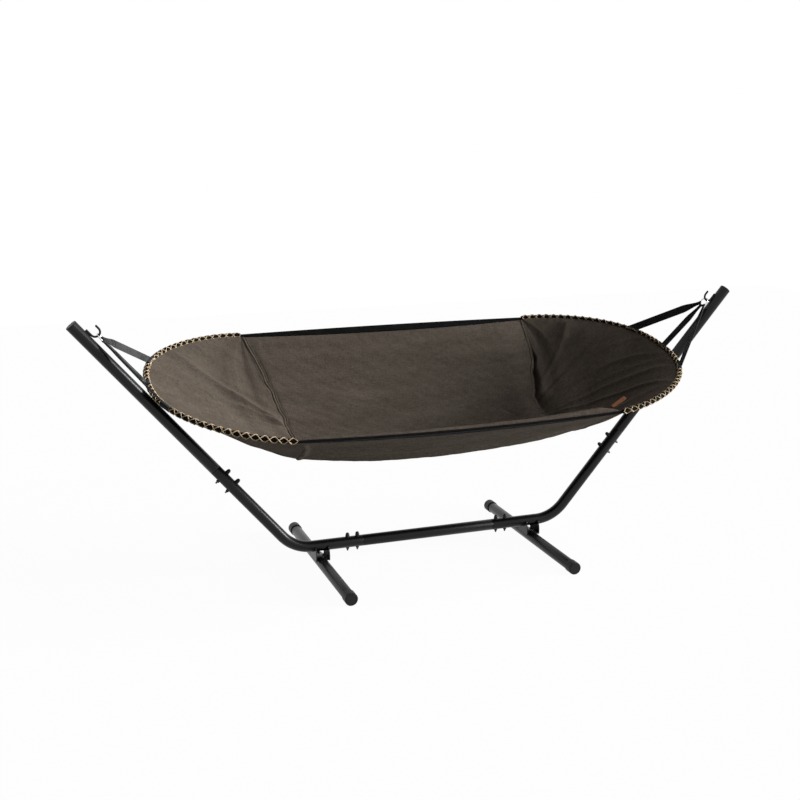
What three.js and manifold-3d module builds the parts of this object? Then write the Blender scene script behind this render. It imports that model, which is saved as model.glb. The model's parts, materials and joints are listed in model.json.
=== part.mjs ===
// A sling hammock on a free-standing tubular stand, in millimetres.
// +X runs along the stand, +Z is up, and the ground is z = 0.
// The sling hangs by a ring at each end, swung a little to the far side (+Y) about the line
// through the two hooks, so that it shows its inside to the near side (-Y).
import * as THREE from "three";
import { mergeVertices } from "three/addons/utils/BufferGeometryUtils.js";
import Module from "manifold-3d";

// Clearances
const touchGap = 0.3; // between two pieces that bear on each other
const boltGap = 0.5; // between a bolt's shank and its hole

// Stand tubes
const tubeRadius = 25;
const tubeWall = 1.5;
const cornerX = 632; // where the axes of the base and of an arm would cross
const bendRadius = 180; // at the axis of a corner tube
const armAngle = THREE.MathUtils.degToRad(49.7); // above the ground
const armLength = 1380; // along an arm's axis, from the crossing to its top
const baseSeamX = 317; // where the base tube slips into a corner tube
const armSeam = 523; // where an arm slips into a corner tube, along the arm's axis
const spigotLength = 125; // the drawn-in end that goes inside a corner tube
const spigotTaper = 4;

// Joint bolts, two at each joint
const baseBoltsPast = [23, 69]; // from the base seam towards the bend
const armBoltsBelow = [109, 48]; // from the arm seam down towards the bend
const boltRadius = 4;
const knobRadius = 9.3;
const knobHeight = 19;
const knobSkirt = 4; // straight foot of the knob under its bullet nose
const noseBluntness = 0.8; // 1 would make the nose an ellipse
const nutAcross = 13;
const nutHeight = 6.5;
const boltEnd = 8.5; // thread that stands out of the nut

// Feet
const footX = 513;
const footDrop = 73; // from the base axis down to a foot's axis
const footHalfLength = 470; // to the outer face of its end cap
const footCapRadius = 28.2;
const footCapLength = 45;
const footCapFace = 3.5;
const footCapEdge = 3; // rounding of the cap's outer edge
const footFlatWidth = 12; // moulded flat that a cap stands on

// Cradle brackets that join the base to the feet
const plateThickness = 4;
const plateSpacing = 60; // between the middles of a bracket's two plates
const plateFootWidth = 46; // half width at the lower edge
const platePull = 53; // half width that the curved sides are drawn towards, at the cradle's foot
const plateLow = 14; // lower edge above the foot's axis
const earTop = 3; // top of the ears above the base axis
const earWidth = 7.5;
const saddleThickness = 4;
const saddleSpread = THREE.MathUtils.degToRad(52); // each way from the top of the foot
const footBoltY = 34;
const footBoltHeadRadius = 7;
const footBoltHeadHeight = 5.5;
const footBoltRim = 1; // straight edge of the head under its dome
const footBoltPast = 4; // tip of the bolt past its insert
const insertFlangeRadius = 6.5;
const insertRadius = 5.8;
const insertLength = 14;
const insertWall = 1.5;

// Arm end caps
const armCapFace = 5;
const armCapEdge = 2.5;
const armCapPlug = 22;
const armCapPlugWall = 3;

// Hooks, bent round bar welded on the inner side of the arms
const hookBar = 4.5; // radius of the bar
const hookCurve = 19.7; // radius of the bend at the bar's axis
const hookBelowTop = 86; // from an arm's top down to where the legs run into the bend
const hookInnerLeg = 31;
const hookFreeLeg = 19;

// Rings
const ringRadius = 21;
const ringWire = 2.5;

// Sling, measured level from the line through the hooks
const swingAngle = THREE.MathUtils.degToRad(13.4); // as it hangs here, far side up
const halfLaceX = 719; // where the long edges end and the hoops begin
const tipX = 1226; // hoop axis at the middle of an end
const halfWidth = 533; // hoop axis at its ends
const rimDrop = 271; // hoop ends below the hook line
const tipDrop = 230; // middle of a hoop below the hook line
const hoopPowerX = 1.57; // roundness of the hoop's outline
const hoopPowerY = 2.36;
const hoopRadius = 12.5;
const edgeSag = 15; // of the long edges, at the middle

// Cloth
const clothThickness = 3;
const seamNear = [259, 253]; // pull of the cross seam's curve from its near end: inward and down
const seamFar = [760, 373]; // and from its far end
const middleFullness = 1.2; // how much deeper the cloth hangs half way than at the seams
const seamDraw = 100; // how far a seam bows towards the middle
const endSag = 20; // of an end panel below straight lines from seam to hoop
const foldDepth = 9;
const foldCount = 3.5;
const foldRoot = 0.2; // where the folds start, as a share of the way across the seam
const foldRootDepth = 0.25; // how far behind the seam they would meet, as a share of an end's reach

// Edge webbing, folded over the cloth's long edges
const webbingThickness = 2.4;
const webbingDepth = 34; // half way along
const webbingEndDepth = 14; // at the hoops
const webbingRoom = 1; // between the cloth and each side of the webbing
const hoopStub = 2; // square end of a hoop, before its bow begins

// Straps
const strapWidth = 38;
const strapThickness = 1.8;
const strapRootWidth = 15; // gathered at the ring
const strapFlare = 90; // length over which it widens
const strapTurn = THREE.MathUtils.degToRad(48); // between neighbours, round the ring
const strapWrap = THREE.MathUtils.degToRad(100); // how far it laps round the hoop, each way
const strapSpacing = 225; // between neighbours, along the hoop

// Lacing
const laceRadius = 1.75;
const loopsBetweenStraps = 3;
const loopsOutside = 9; // from an outer strap to the end of the lacing
const laceEnd = 20; // hoop left bare past the last loop

// Blank tag on the right end panel
const tagWidth = 45;
const tagThickness = 1.5;
const tagRow = 6; // of the panel's rows and columns of facets
const tagColumn = 4;
const tagColumns = 1;

// Facets
const tubeSides = 16; // a multiple of four, so that tubes in one another face alike
const bendSteps = 8;
const boltSides = 8;
const noseSteps = 3;
const roundingSteps = 2;
const hookSides = 8;
const ringSteps = 20;
const wireSides = 8;
const hoopSteps = 32;
const hoopSamples = 720; // from which the even steps are picked
const hoopSides = 8;
const laceSteps = 8; // round one loop
const laceSides = 4;
const gatherSteps = 3; // of a strap's loop round the ring
const lapSteps = 4; // of a strap's lap round the hoop
const clothRows = 18; // across the sling
const middleColumns = 16;
const endColumns = 10;
const endRow = 0.0175; // an end panel's first row, as a share of the way across

// Finishes
const finish = (color, roughness, metalness) => () => {
  return new THREE.MeshStandardMaterial({ color, roughness, metalness });
};
const blackPaint = finish(0x17171a, 0.42, 0.35);
const blackPlastic = finish(0x1b1b1d, 0.6, 0);
const blackSteel = finish(0x121214, 0.38, 0.6);
const brightSteel = finish(0xc9c9cb, 0.25, 1);
const canvas = finish(0x5a524a, 0.95, 0);
const blackWebbing = finish(0x131314, 0.85, 0);
const beigeCord = finish(0xc9a878, 0.8, 0);
const leather = finish(0x8a4b2a, 0.6, 0);

const V = (x, y, z) => new THREE.Vector3(x, y, z);
const wasm = await Module();
wasm.setup();

// Values that follow from the sizes above
const footAxisZ = Math.sqrt(footCapRadius ** 2 - (footFlatWidth / 2) ** 2);
const baseZ = footAxisZ + footDrop;
const boreRadius = tubeRadius - tubeWall;
const spigotRadius = boreRadius - touchGap;
const bendTangent = bendRadius * Math.tan(armAngle / 2);
const hookCentreAt = armLength - hookBelowTop; // along the arm's axis
const hookOffset = tubeRadius + touchGap + hookBar + hookCurve; // hook bend's centre off the arm's axis

// A point beside an arm: at so far along its axis, off so far towards the sling, side -1 or 1.
function byArm(side, at, off) {
  const x = cornerX + at * Math.cos(armAngle) - off * Math.sin(armAngle);
  return V(side * x, 0, baseZ + at * Math.sin(armAngle) + off * Math.cos(armAngle));
}
const armUp = (side) => V(side * Math.cos(armAngle), 0, Math.sin(armAngle));
const armIn = (side) => V(-side * Math.sin(armAngle), 0, Math.cos(armAngle));

// The hook line: the middle of the bar at the lowest point of each hook's bend.
const hookLow = byArm(1, hookCentreAt - hookCurve, hookOffset);
const hookX = hookLow.x;
const hookZ = hookLow.z;

// A curve that is sampled at its own even steps of t, so that each step can be a chosen station.
class Stations extends THREE.Curve {
  constructor(place) {
    super();
    this.place = place;
  }
  getPoint(t) {
    return this.place(Math.min(Math.max(t, 0), 1));
  }
  getPointAt(t) {
    return this.getPoint(t);
  }
  getTangentAt(t) {
    return this.getTangent(t);
  }
}

// A polyline through points, as such a curve.
function through(points) {
  const last = points.length - 1;
  return new Stations((t) => {
    const i = Math.min(Math.floor(t * last), last - 1);
    return points[i].clone().lerp(points[i + 1], t * last - i);
  });
}

function circle(radius, sides) {
  const points = [];
  for (let i = 0; i < sides; i++) {
    const a = (2 * Math.PI * i) / sides;
    points.push(new THREE.Vector2(radius * Math.cos(a), radius * Math.sin(a)));
  }
  return points;
}

// A round bar or, with an inner radius, a tube along a curve.
function barAlong(curve, steps, radius, sides, inner = 0) {
  const shape = new THREE.Shape(circle(radius, sides));
  if (inner) shape.holes.push(new THREE.Path(circle(inner, sides)));
  return new THREE.ExtrudeGeometry(shape, { steps, extrudePath: curve, bevelEnabled: false });
}

// A turned piece on the Z axis from a profile of [radius, height] pairs, listed anticlockwise.
function turned(profile, sides) {
  const points = profile.map(([r, z]) => new THREE.Vector2(r, z));
  return new THREE.LatheGeometry(points, sides).rotateX(Math.PI / 2);
}

// A quarter round from one profile point to the next, both a radius away from the centre.
function rounding(centreR, centreZ, radius, from, to) {
  const points = [];
  for (let i = 0; i <= roundingSteps; i++) {
    const a = from + ((to - from) * i) / roundingSteps;
    points.push([centreR + radius * Math.cos(a), centreZ + radius * Math.sin(a)]);
  }
  return points;
}

// A skin through rings of points, each ring closed. Its flat ends are a fan, or the triangles
// given for a section that a fan can't fill.
function skin(rings, fill) {
  const n = rings[0].length;
  const positions = rings.flat().flatMap((p) => [p.x, p.y, p.z]);
  const faces = [];
  for (let i = 0; i + 1 < rings.length; i++) {
    for (let j = 0; j < n; j++) {
      const a = i * n + j;
      const b = i * n + ((j + 1) % n);
      faces.push(a, b, b + n, a, b + n, a + n);
    }
  }
  const end = (rings.length - 1) * n;
  const fan = Array.from({ length: n - 2 }, (_, j) => [0, j + 1, j + 2]);
  for (const [a, b, c] of fill ?? fan) {
    faces.push(a, c, b, end + a, end + b, end + c);
  }
  const geometry = new THREE.BufferGeometry();
  geometry.setAttribute("position", new THREE.Float32BufferAttribute(positions, 3));
  geometry.setIndex(faces);
  return geometry;
}

// A sheet of cloth: a grid of points, and the same grid moved by its thickness along given normals.
function sheet(points, normals, thickness) {
  const rows = points.length;
  const columns = points[0].length;
  const positions = [];
  for (const lift of [0, thickness]) {
    points.forEach((row, i) => {
      row.forEach((p, j) => {
        const q = p.clone().addScaledVector(normals[i][j], lift);
        positions.push(q.x, q.y, q.z);
      });
    });
  }
  const at = (i, j, layer) => layer * rows * columns + i * columns + j;
  const faces = [];
  const quad = (a, b, c, d) => faces.push(a, b, c, a, c, d);
  for (let i = 0; i + 1 < rows; i++) {
    for (let j = 0; j + 1 < columns; j++) {
      quad(at(i, j, 0), at(i + 1, j, 0), at(i + 1, j + 1, 0), at(i, j + 1, 0));
      quad(at(i, j, 1), at(i, j + 1, 1), at(i + 1, j + 1, 1), at(i + 1, j, 1));
    }
    quad(at(i, 0, 0), at(i, 0, 1), at(i + 1, 0, 1), at(i + 1, 0, 0));
    const last = columns - 1;
    quad(at(i, last, 0), at(i + 1, last, 0), at(i + 1, last, 1), at(i, last, 1));
  }
  for (let j = 0; j + 1 < columns; j++) {
    quad(at(0, j, 0), at(0, j + 1, 0), at(0, j + 1, 1), at(0, j, 1));
    quad(at(rows - 1, j, 0), at(rows - 1, j, 1), at(rows - 1, j + 1, 1), at(rows - 1, j + 1, 0));
  }
  const geometry = new THREE.BufferGeometry();
  geometry.setAttribute("position", new THREE.Float32BufferAttribute(positions, 3));
  geometry.setIndex(faces);
  return geometry;
}

// A geometry as a solid with its faces out, and a solid as a geometry.
function solidOf(geometry) {
  const bare = geometry.clone();
  bare.deleteAttribute("normal");
  bare.deleteAttribute("uv");
  const merged = mergeVertices(bare, 1e-3);
  const index = new Uint32Array(merged.index.array);
  const vertProperties = merged.attributes.position.array;
  const solid = new wasm.Manifold(new wasm.Mesh({ numProp: 3, vertProperties, triVerts: index }));
  if (solid.volume() > 0) return solid;
  for (let i = 0; i < index.length; i += 3) {
    [index[i + 1], index[i + 2]] = [index[i + 2], index[i + 1]];
  }
  return new wasm.Manifold(new wasm.Mesh({ numProp: 3, vertProperties, triVerts: index }));
}
function geometryOf(solid) {
  const mesh = solid.getMesh();
  const geometry = new THREE.BufferGeometry();
  geometry.setAttribute("position", new THREE.BufferAttribute(mesh.vertProperties.slice(), 3));
  geometry.setIndex(new THREE.BufferAttribute(mesh.triVerts.slice(), 1));
  return geometry.toNonIndexed();
}
const outward = (geometry) => geometryOf(solidOf(geometry));
function joined(...geometries) {
  return geometryOf(geometries.map(solidOf).reduce((a, b) => a.add(b)));
}
function cut(geometry, ...tools) {
  return geometryOf(tools.map(solidOf).reduce((a, b) => a.subtract(b), solidOf(geometry)));
}

// A round drill from one point to another.
function drill(from, to, radius) {
  return barAlong(new THREE.LineCurve3(from, to), 1, radius, boltSides);
}

function addPiece(group, name, geometry, material) {
  geometry.computeVertexNormals();
  const mesh = new THREE.Mesh(geometry, material);
  mesh.name = name;
  group.add(mesh);
  return mesh;
}

const sides = [
  ["left", -1],
  ["right", 1],
];
const hammock = new THREE.Group();
const stand = new THREE.Group();
const sling = new THREE.Group();
hammock.add(stand, sling);

// Bolts of one joint: where each axis crosses the tube's axis, and its direction towards the knob.
function jointBolts(side) {
  const bolts = [];
  baseBoltsPast.forEach((past, i) => {
    bolts.push([`base_${i + 1}`, V(side * (baseSeamX + past), 0, baseZ), V(0, 0, 1)]);
  });
  armBoltsBelow.forEach((below, i) => {
    bolts.push([`arm_${i + 1}`, byArm(side, armSeam - below, 0), armIn(side)]);
  });
  return bolts;
}
function boltHoles(side) {
  return jointBolts(side).map(([, at, up]) => {
    const reach = up.clone().multiplyScalar(2 * tubeRadius);
    return drill(at.clone().sub(reach), at.clone().add(reach), boltRadius + boltGap);
  });
}

// Base tube with a drawn-in end each side
function addBaseTube() {
  const end = baseSeamX + spigotLength;
  const inner = spigotRadius - tubeWall;
  const profile = [
    [inner, -end],
    [spigotRadius, -end],
    [spigotRadius, -baseSeamX],
    [tubeRadius, -baseSeamX + touchGap],
    [tubeRadius, baseSeamX - touchGap],
    [spigotRadius, baseSeamX],
    [spigotRadius, end],
    [inner, end],
    [inner, -end],
  ];
  const tube = turned(profile, tubeSides).rotateY(Math.PI / 2).translate(0, 0, baseZ);
  const holes = sides.flatMap(([, side]) => boltHoles(side).slice(0, baseBoltsPast.length));
  addPiece(stand, "base_tube", cut(tube, ...holes), blackPaint());
}

// Corner tube: level from the base seam, round the bend, and up to the arm seam
function addCornerTube(name, side) {
  const centre = V(cornerX - bendTangent, 0, baseZ + bendRadius);
  const stations = [V(baseSeamX, 0, baseZ)];
  for (let i = 0; i <= bendSteps; i++) {
    const a = (armAngle * i) / bendSteps;
    stations.push(V(centre.x + bendRadius * Math.sin(a), 0, centre.z - bendRadius * Math.cos(a)));
  }
  stations.push(byArm(1, armSeam, 0));
  stations.forEach((p) => p.setX(side * p.x));
  const tube = barAlong(through(stations), stations.length - 1, tubeRadius, tubeSides, boreRadius);
  addPiece(stand, `${name}_corner_tube`, cut(tube, ...boltHoles(side)), blackPaint());
}

// Stands a piece made along Z on the point at, with its Z along a direction.
function aimed(geometry, at, up) {
  const turn = new THREE.Quaternion().setFromUnitVectors(V(0, 0, 1), up);
  return geometry.applyQuaternion(turn).translate(at.x, at.y, at.z);
}

// Arm: a straight tube whose drawn-in lower end goes inside the corner tube
function addArm(name, side) {
  const inner = spigotRadius - tubeWall;
  const top = armLength - armCapFace - touchGap;
  const profile = [
    [inner, armSeam - spigotLength],
    [spigotRadius, armSeam - spigotLength],
    [spigotRadius, armSeam],
    [tubeRadius, armSeam + touchGap],
    [tubeRadius, top],
    [boreRadius, top],
    [boreRadius, armSeam + spigotTaper],
    [inner, armSeam],
    [inner, armSeam - spigotLength],
  ];
  const tube = aimed(turned(profile, tubeSides), byArm(side, 0, 0), armUp(side));
  const holes = boltHoles(side).slice(baseBoltsPast.length);
  addPiece(stand, `${name}_arm_tube`, cut(tube, ...holes), blackPaint());

  const plug = spigotRadius;
  const capProfile = [
    [0, armLength - armCapFace],
    [plug - armCapPlugWall, armLength - armCapFace],
    [plug - armCapPlugWall, armLength - armCapFace - armCapPlug],
    [plug, armLength - armCapFace - armCapPlug],
    [plug, armLength - armCapFace],
    [tubeRadius, armLength - armCapFace],
    ...rounding(tubeRadius - armCapEdge, armLength - armCapEdge, armCapEdge, 0, Math.PI / 2),
    [0, armLength],
  ];
  const cap = aimed(turned(capProfile, tubeSides), byArm(side, 0, 0), armUp(side));
  addPiece(stand, `${name}_arm_cap`, outward(cap), blackPlastic());
}

// Hook: a bar whose inner leg lies along the arm, round a half turn, and up to a free tip
function addHook(name, side) {
  const inner = tubeRadius + touchGap + hookBar;
  const stations = [byArm(side, hookCentreAt + hookInnerLeg, inner)];
  for (let i = 0; i <= bendSteps; i++) {
    const a = Math.PI + (Math.PI * i) / bendSteps;
    const off = hookOffset + hookCurve * Math.cos(a);
    stations.push(byArm(side, hookCentreAt + hookCurve * Math.sin(a), off));
  }
  stations.push(byArm(side, hookCentreAt + hookFreeLeg, hookOffset + hookCurve));
  const bar = barAlong(through(stations), stations.length - 1, hookBar, hookSides);
  addPiece(stand, `${name}_hook`, outward(bar), blackPaint());
}

// Bolt with a bullet-nosed knob for its head, and its hex nut on the outer side
function addJointBolts(name, side) {
  const nose = [];
  for (let i = 0; i <= noseSteps; i++) {
    const a = (Math.PI / 2) * (i / noseSteps);
    const lift = knobSkirt + (knobHeight - knobSkirt) * Math.sin(a);
    nose.push([knobRadius * Math.cos(a) ** noseBluntness, tubeRadius + touchGap + lift]);
  }
  const low = -(tubeRadius + touchGap + nutHeight + boltEnd);
  const profile = [
    [0, low],
    [boltRadius, low],
    [boltRadius, tubeRadius + touchGap],
    [knobRadius, tubeRadius + touchGap],
    ...nose.slice(0, -1),
    [0, tubeRadius + touchGap + knobHeight],
  ];
  const hexagon = new THREE.Shape(circle(nutAcross / 2 / Math.cos(Math.PI / 6), 6));
  hexagon.holes.push(new THREE.Path(circle(boltRadius + touchGap, boltSides)));
  const nut = new THREE.ExtrudeGeometry(hexagon, { depth: nutHeight, bevelEnabled: false });
  nut.translate(0, 0, -(tubeRadius + touchGap + nutHeight));
  for (const [place, at, up] of jointBolts(side)) {
    const bolt = aimed(turned(profile, boltSides), at, up);
    addPiece(stand, `${name}_${place}_knob_bolt`, outward(bolt), blackPlastic());
    addPiece(stand, `${name}_${place}_nut`, outward(aimed(nut.clone(), at, up)), blackSteel());
  }
}

// Foot: a cross tube with a sleeve cap at each end that stands on its moulded flat
function addFoot(name, side) {
  const end = footHalfLength - footCapFace - touchGap;
  const profile = [
    [boreRadius, -end],
    [tubeRadius, -end],
    [tubeRadius, end],
    [boreRadius, end],
    [boreRadius, -end],
  ];
  const axis = V(side * footX, 0, footAxisZ);
  const tube = aimed(turned(profile, tubeSides), axis, V(0, 1, 0));
  const holes = footBolts(side).map((p) => drill(p, p.clone().setZ(footAxisZ), insertRadius + touchGap));
  addPiece(stand, `${name}_foot_tube`, cut(tube, ...holes), blackPaint());

  const sleeve = tubeRadius + touchGap;
  const capProfile = [
    [0, footHalfLength - footCapFace],
    [sleeve, footHalfLength - footCapFace],
    [sleeve, footHalfLength - footCapLength],
    [footCapRadius, footHalfLength - footCapLength],
    ...rounding(footCapRadius - footCapEdge, footHalfLength - footCapEdge, footCapEdge, 0, Math.PI / 2),
    [0, footHalfLength],
  ];
  for (const [place, way] of [["near", -1], ["far", 1]]) {
    const cap = aimed(turned(capProfile, tubeSides), axis, V(0, way, 0));
    // The ground below z = 0, wider and longer than the cap, cuts the flat.
    const ground = new THREE.BoxGeometry(4 * footCapRadius, 4 * footHalfLength, 2 * footCapRadius);
    ground.translate(axis.x, 0, -footCapRadius);
    addPiece(stand, `${name}_foot_${place}_cap`, cut(cap, ground), blackPlastic());
  }
}

// Where a bracket's two bolts go down into its foot, at the top of the saddle
function footBolts(side) {
  const top = footAxisZ + tubeRadius + touchGap + saddleThickness;
  return [-footBoltY, footBoltY].map((y) => V(side * footX, y, top));
}

// Bracket: two plates cut out round the base tube, and a saddle over the foot between them
function addBracket(name, side) {
  const cradle = tubeRadius + touchGap;
  const low = footAxisZ + plateLow;
  const shoulder = baseZ - tubeRadius - touchGap;
  const plate = new THREE.Shape();
  plate.moveTo(-plateFootWidth, low);
  plate.lineTo(plateFootWidth, low);
  plate.quadraticCurveTo(platePull, shoulder, cradle + earWidth, baseZ + earTop);
  plate.lineTo(cradle, baseZ + earTop);
  plate.lineTo(cradle, baseZ);
  plate.absarc(0, baseZ, cradle, 0, -Math.PI, true);
  plate.lineTo(-cradle, baseZ + earTop);
  plate.lineTo(-cradle - earWidth, baseZ + earTop);
  plate.quadraticCurveTo(-platePull, shoulder, -plateFootWidth, low);
  const plates = [-1, 1].map((way) => {
    const flat = new THREE.ExtrudeGeometry(plate, {
      depth: plateThickness,
      bevelEnabled: false,
      curveSegments: tubeSides / 4,
    });
    flat.translate(0, 0, -plateThickness / 2);
    // The outline's first axis becomes Y and its second Z.
    const turn = new THREE.Matrix4().makeBasis(V(0, 1, 0), V(0, 0, 1), V(1, 0, 0));
    return flat.applyMatrix4(turn).translate(side * footX + (way * plateSpacing) / 2, 0, 0);
  });
  const saddle = new THREE.Shape();
  const outer = cradle + saddleThickness;
  const reach = Math.PI / 2 - saddleSpread;
  saddle.absarc(0, 0, outer, reach, Math.PI - reach, false);
  saddle.lineTo(-plateSpacing / 2, outer * Math.sin(reach));
  saddle.lineTo(-plateSpacing / 2, cradle * Math.sin(reach));
  saddle.absarc(0, 0, cradle, Math.PI - reach, reach, true);
  saddle.lineTo(plateSpacing / 2, cradle * Math.sin(reach));
  saddle.lineTo(plateSpacing / 2, outer * Math.sin(reach));
  const half = plateFootWidth;
  const arch = new THREE.ExtrudeGeometry(saddle, {
    depth: 2 * half,
    bevelEnabled: false,
    curveSegments: tubeSides / 4,
  });
  arch.rotateX(Math.PI / 2).translate(side * footX, half, footAxisZ);
  const holes = footBolts(side).map((p) => {
    return drill(p.clone().setZ(p.z + tubeRadius), p.clone().setZ(footAxisZ), boltRadius + boltGap);
  });
  const bracket = cut(joined(arch, ...plates), ...holes);
  addPiece(stand, `${name}_foot_bracket`, bracket, blackPaint());
}

// Foot bolts: a domed head on the saddle, and the rivet insert in the foot that it screws into
function addFootBolts(name, side) {
  const places = ["near", "far"];
  const insertTop = tubeRadius - tubeWall; // the flange bears on the inside of the tube's wall
  footBolts(side).forEach((p, i) => {
    const seat = p.z + touchGap;
    const tip = footAxisZ + insertTop - insertLength - footBoltPast;
    const dome = rounding(0, 0, 1, 0, Math.PI / 2).map(([r, z]) => {
      return [footBoltHeadRadius * r, seat + footBoltRim + (footBoltHeadHeight - footBoltRim) * z];
    });
    const bolt = turned(
      [[0, tip], [boltRadius, tip], [boltRadius, seat], [footBoltHeadRadius, seat],
        ...dome.slice(0, -1), [0, seat + footBoltHeadHeight]],
      boltSides,
    );
    bolt.translate(p.x, p.y, 0);
    addPiece(stand, `${name}_foot_${places[i]}_bolt`, outward(bolt), blackSteel());

    const bore = boltRadius + touchGap;
    // The tube's facets slope down on both sides of its top.
    const slope = insertFlangeRadius * Math.tan(Math.PI / tubeSides);
    const flat = footAxisZ + insertTop - slope - touchGap;
    const insert = turned(
      [[bore, flat - insertLength], [insertRadius, flat - insertLength],
        [insertRadius, flat - insertWall], [insertFlangeRadius, flat - insertWall],
        [insertFlangeRadius, flat], [bore, flat], [bore, flat - insertLength]],
      boltSides,
    );
    insert.translate(p.x, p.y, 0);
    addPiece(stand, `${name}_foot_${places[i]}_insert`, outward(insert), blackSteel());
  });
}

// Sling shape, level and measured from the hook line
const bowX = halfLaceX + touchGap + hoopStub; // where a hoop's bow begins

// The hoop's axis at an angle: -90 degrees at its near end, 0 at the tip, 90 at its far end.
function hoopAt(side, angle) {
  const inward = Math.max(Math.cos(angle), 0) ** (2 / hoopPowerX);
  const across = Math.sign(angle) * Math.abs(Math.sin(angle)) ** (2 / hoopPowerY);
  const x = bowX + (tipX - bowX) * inward;
  return V(side * x, halfWidth * across, -rimDrop + (rimDrop - tipDrop) * inward);
}
// The same axis as stations that lie evenly along it.
function hoopStations(side) {
  const fine = [];
  for (let i = 0; i <= hoopSamples; i++) {
    fine.push(hoopAt(side, -Math.PI / 2 + (Math.PI * i) / hoopSamples));
  }
  const lengths = [0];
  for (let i = 1; i <= hoopSamples; i++) {
    lengths.push(lengths[i - 1] + fine[i].distanceTo(fine[i - 1]));
  }
  const stations = [];
  let k = 1;
  for (let i = 0; i <= hoopSteps; i++) {
    const want = (lengths[hoopSamples] * i) / hoopSteps;
    while (k < hoopSamples && lengths[k] < want) k++;
    const share = (want - lengths[k - 1]) / (lengths[k] - lengths[k - 1]);
    stations.push(fine[k - 1].clone().lerp(fine[k], share));
  }
  return stations;
}
const hoopLine = { left: hoopStations(-1), right: hoopStations(1) };
const hoopLength = hoopSteps * hoopLine.left[hoopSteps / 2].distanceTo(hoopLine.left[hoopSteps / 2 + 1]);
const laceReach = (hoopRadius + touchGap + laceRadius) / Math.cos(Math.PI / laceSteps);

// A point on a hoop's line at a share of its length, the line's direction there, and the
// direction level and away from the sling.
function onHoop(name, share) {
  const line = hoopLine[name];
  const place = Math.min(Math.max(share, 0), 1) * hoopSteps;
  const i = Math.min(Math.floor(place), hoopSteps - 1);
  const at = line[i].clone().lerp(line[i + 1], place - i);
  const before = line[Math.max(Math.round(place) - 1, 0)];
  const after = line[Math.min(Math.round(place) + 1, hoopSteps)];
  const along = after.clone().sub(before).normalize();
  const out = along.clone().cross(V(0, 0, 1)).normalize();
  if (out.x * (name === "left" ? -1 : 1) < 0) out.negate();
  return { at, along, out };
}

// The long edge at a share t of half its length, -1 left to 1 right.
function edgeAt(way, t) {
  return V(t * halfLaceX, way * halfWidth, -rimDrop - edgeSag * (1 - t * t));
}

// The cloth's cross curve: s from 0 at the near edge to 1 at the far edge, at a share t of
// the way from the middle to a seam.
function crossCurve(t, s) {
  const full = 1 + (middleFullness - 1) * (1 - t * t);
  const z = edgeAt(1, t).z;
  const near = V(0, -halfWidth, z);
  const far = V(0, halfWidth, z);
  const nearPull = V(0, -halfWidth + seamNear[0] * full, z - seamNear[1] * full);
  const farPull = V(0, halfWidth - seamFar[0] * full, z - seamFar[1] * full);
  const p = new THREE.CubicBezierCurve3(near, nearPull, farPull, far).getPoint(s);
  const bow = seamDraw * Math.abs(t) ** 3 * (1 - Math.abs(2 * s - 1) ** 3);
  p.x = t * halfLaceX - Math.sign(t) * bow;
  return p;
}
// Outward normal of that curve in its own upright plane.
function crossNormal(t, s) {
  const step = 0.01;
  const a = crossCurve(t, Math.max(s - step, 0));
  const b = crossCurve(t, Math.min(s + step, 1));
  return V(0, -(a.z - b.z), a.y - b.y).normalize();
}

// The points and normals across the cloth at one station t.
function crossRow(t, shift) {
  const shares = Array.from({ length: clothRows + 1 }, (_, j) => j / clothRows);
  const points = shares.map((s) => crossCurve(t, s).add(V(shift, 0, 0)));
  return { points, normals: shares.map((s) => crossNormal(t, s)) };
}

// Centre panel, from seam to seam
function addCentrePanel() {
  const rows = [];
  for (let i = 0; i <= middleColumns; i++) {
    const t = -1 + (2 * i) / middleColumns;
    const shift = Math.abs(t) < 1 ? 0 : (-t * touchGap) / 2;
    rows.push(crossRow(t, shift));
  }
  const cloth = sheet(rows.map((r) => r.points), rows.map((r) => r.normals), clothThickness);
  addPiece(sling, "centre_panel", outward(cloth), canvas());
}

// End panel, from the seam up to the lacing on the hoop, with folds that fan out from the
// seam's near end. Its first and last rows pass just below the ends of the edge webbing, and
// there its thickness goes straight down, clear of the hoop.
function endPanelGrid(name, side) {
  const seam = crossRow(side, (side * touchGap) / 2);
  const laced = laceReach + laceRadius + 2 * touchGap;
  const points = [];
  const normals = [];
  for (let j = 0; j <= clothRows; j++) {
    const s = Math.min(Math.max(j / clothRows, endRow), 1 - endRow);
    const before = Math.min(j, clothRows - 1);
    const from = seam.points[before].clone().lerp(seam.points[before + 1], s * clothRows - before);
    const normal = j % clothRows === 0 ? V(0, 0, -1) : seam.normals[j];
    const rim = onHoop(name, s);
    const edge = rim.at.clone().addScaledVector(rim.out, -laced);
    const row = [];
    for (let i = 0; i <= endColumns; i++) {
      const u = i / endColumns;
      const p = from.clone().lerp(edge, u);
      const open = 4 * u * (1 - u) * (1 - Math.abs(2 * s - 1) ** 4);
      const fan = Math.atan2(s - foldRoot, foldRootDepth + u);
      p.z -= open * (endSag + foldDepth * Math.cos(2 * Math.PI * foldCount * fan));
      row.push(p);
    }
    points.push(row);
    normals.push(row.map(() => normal));
  }
  return { points, normals };
}
function addEndPanel(name, side) {
  const { points, normals } = endPanelGrid(name, side);
  addPiece(sling, `${name}_end_panel`, outward(sheet(points, normals, clothThickness)), canvas());
}

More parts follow.
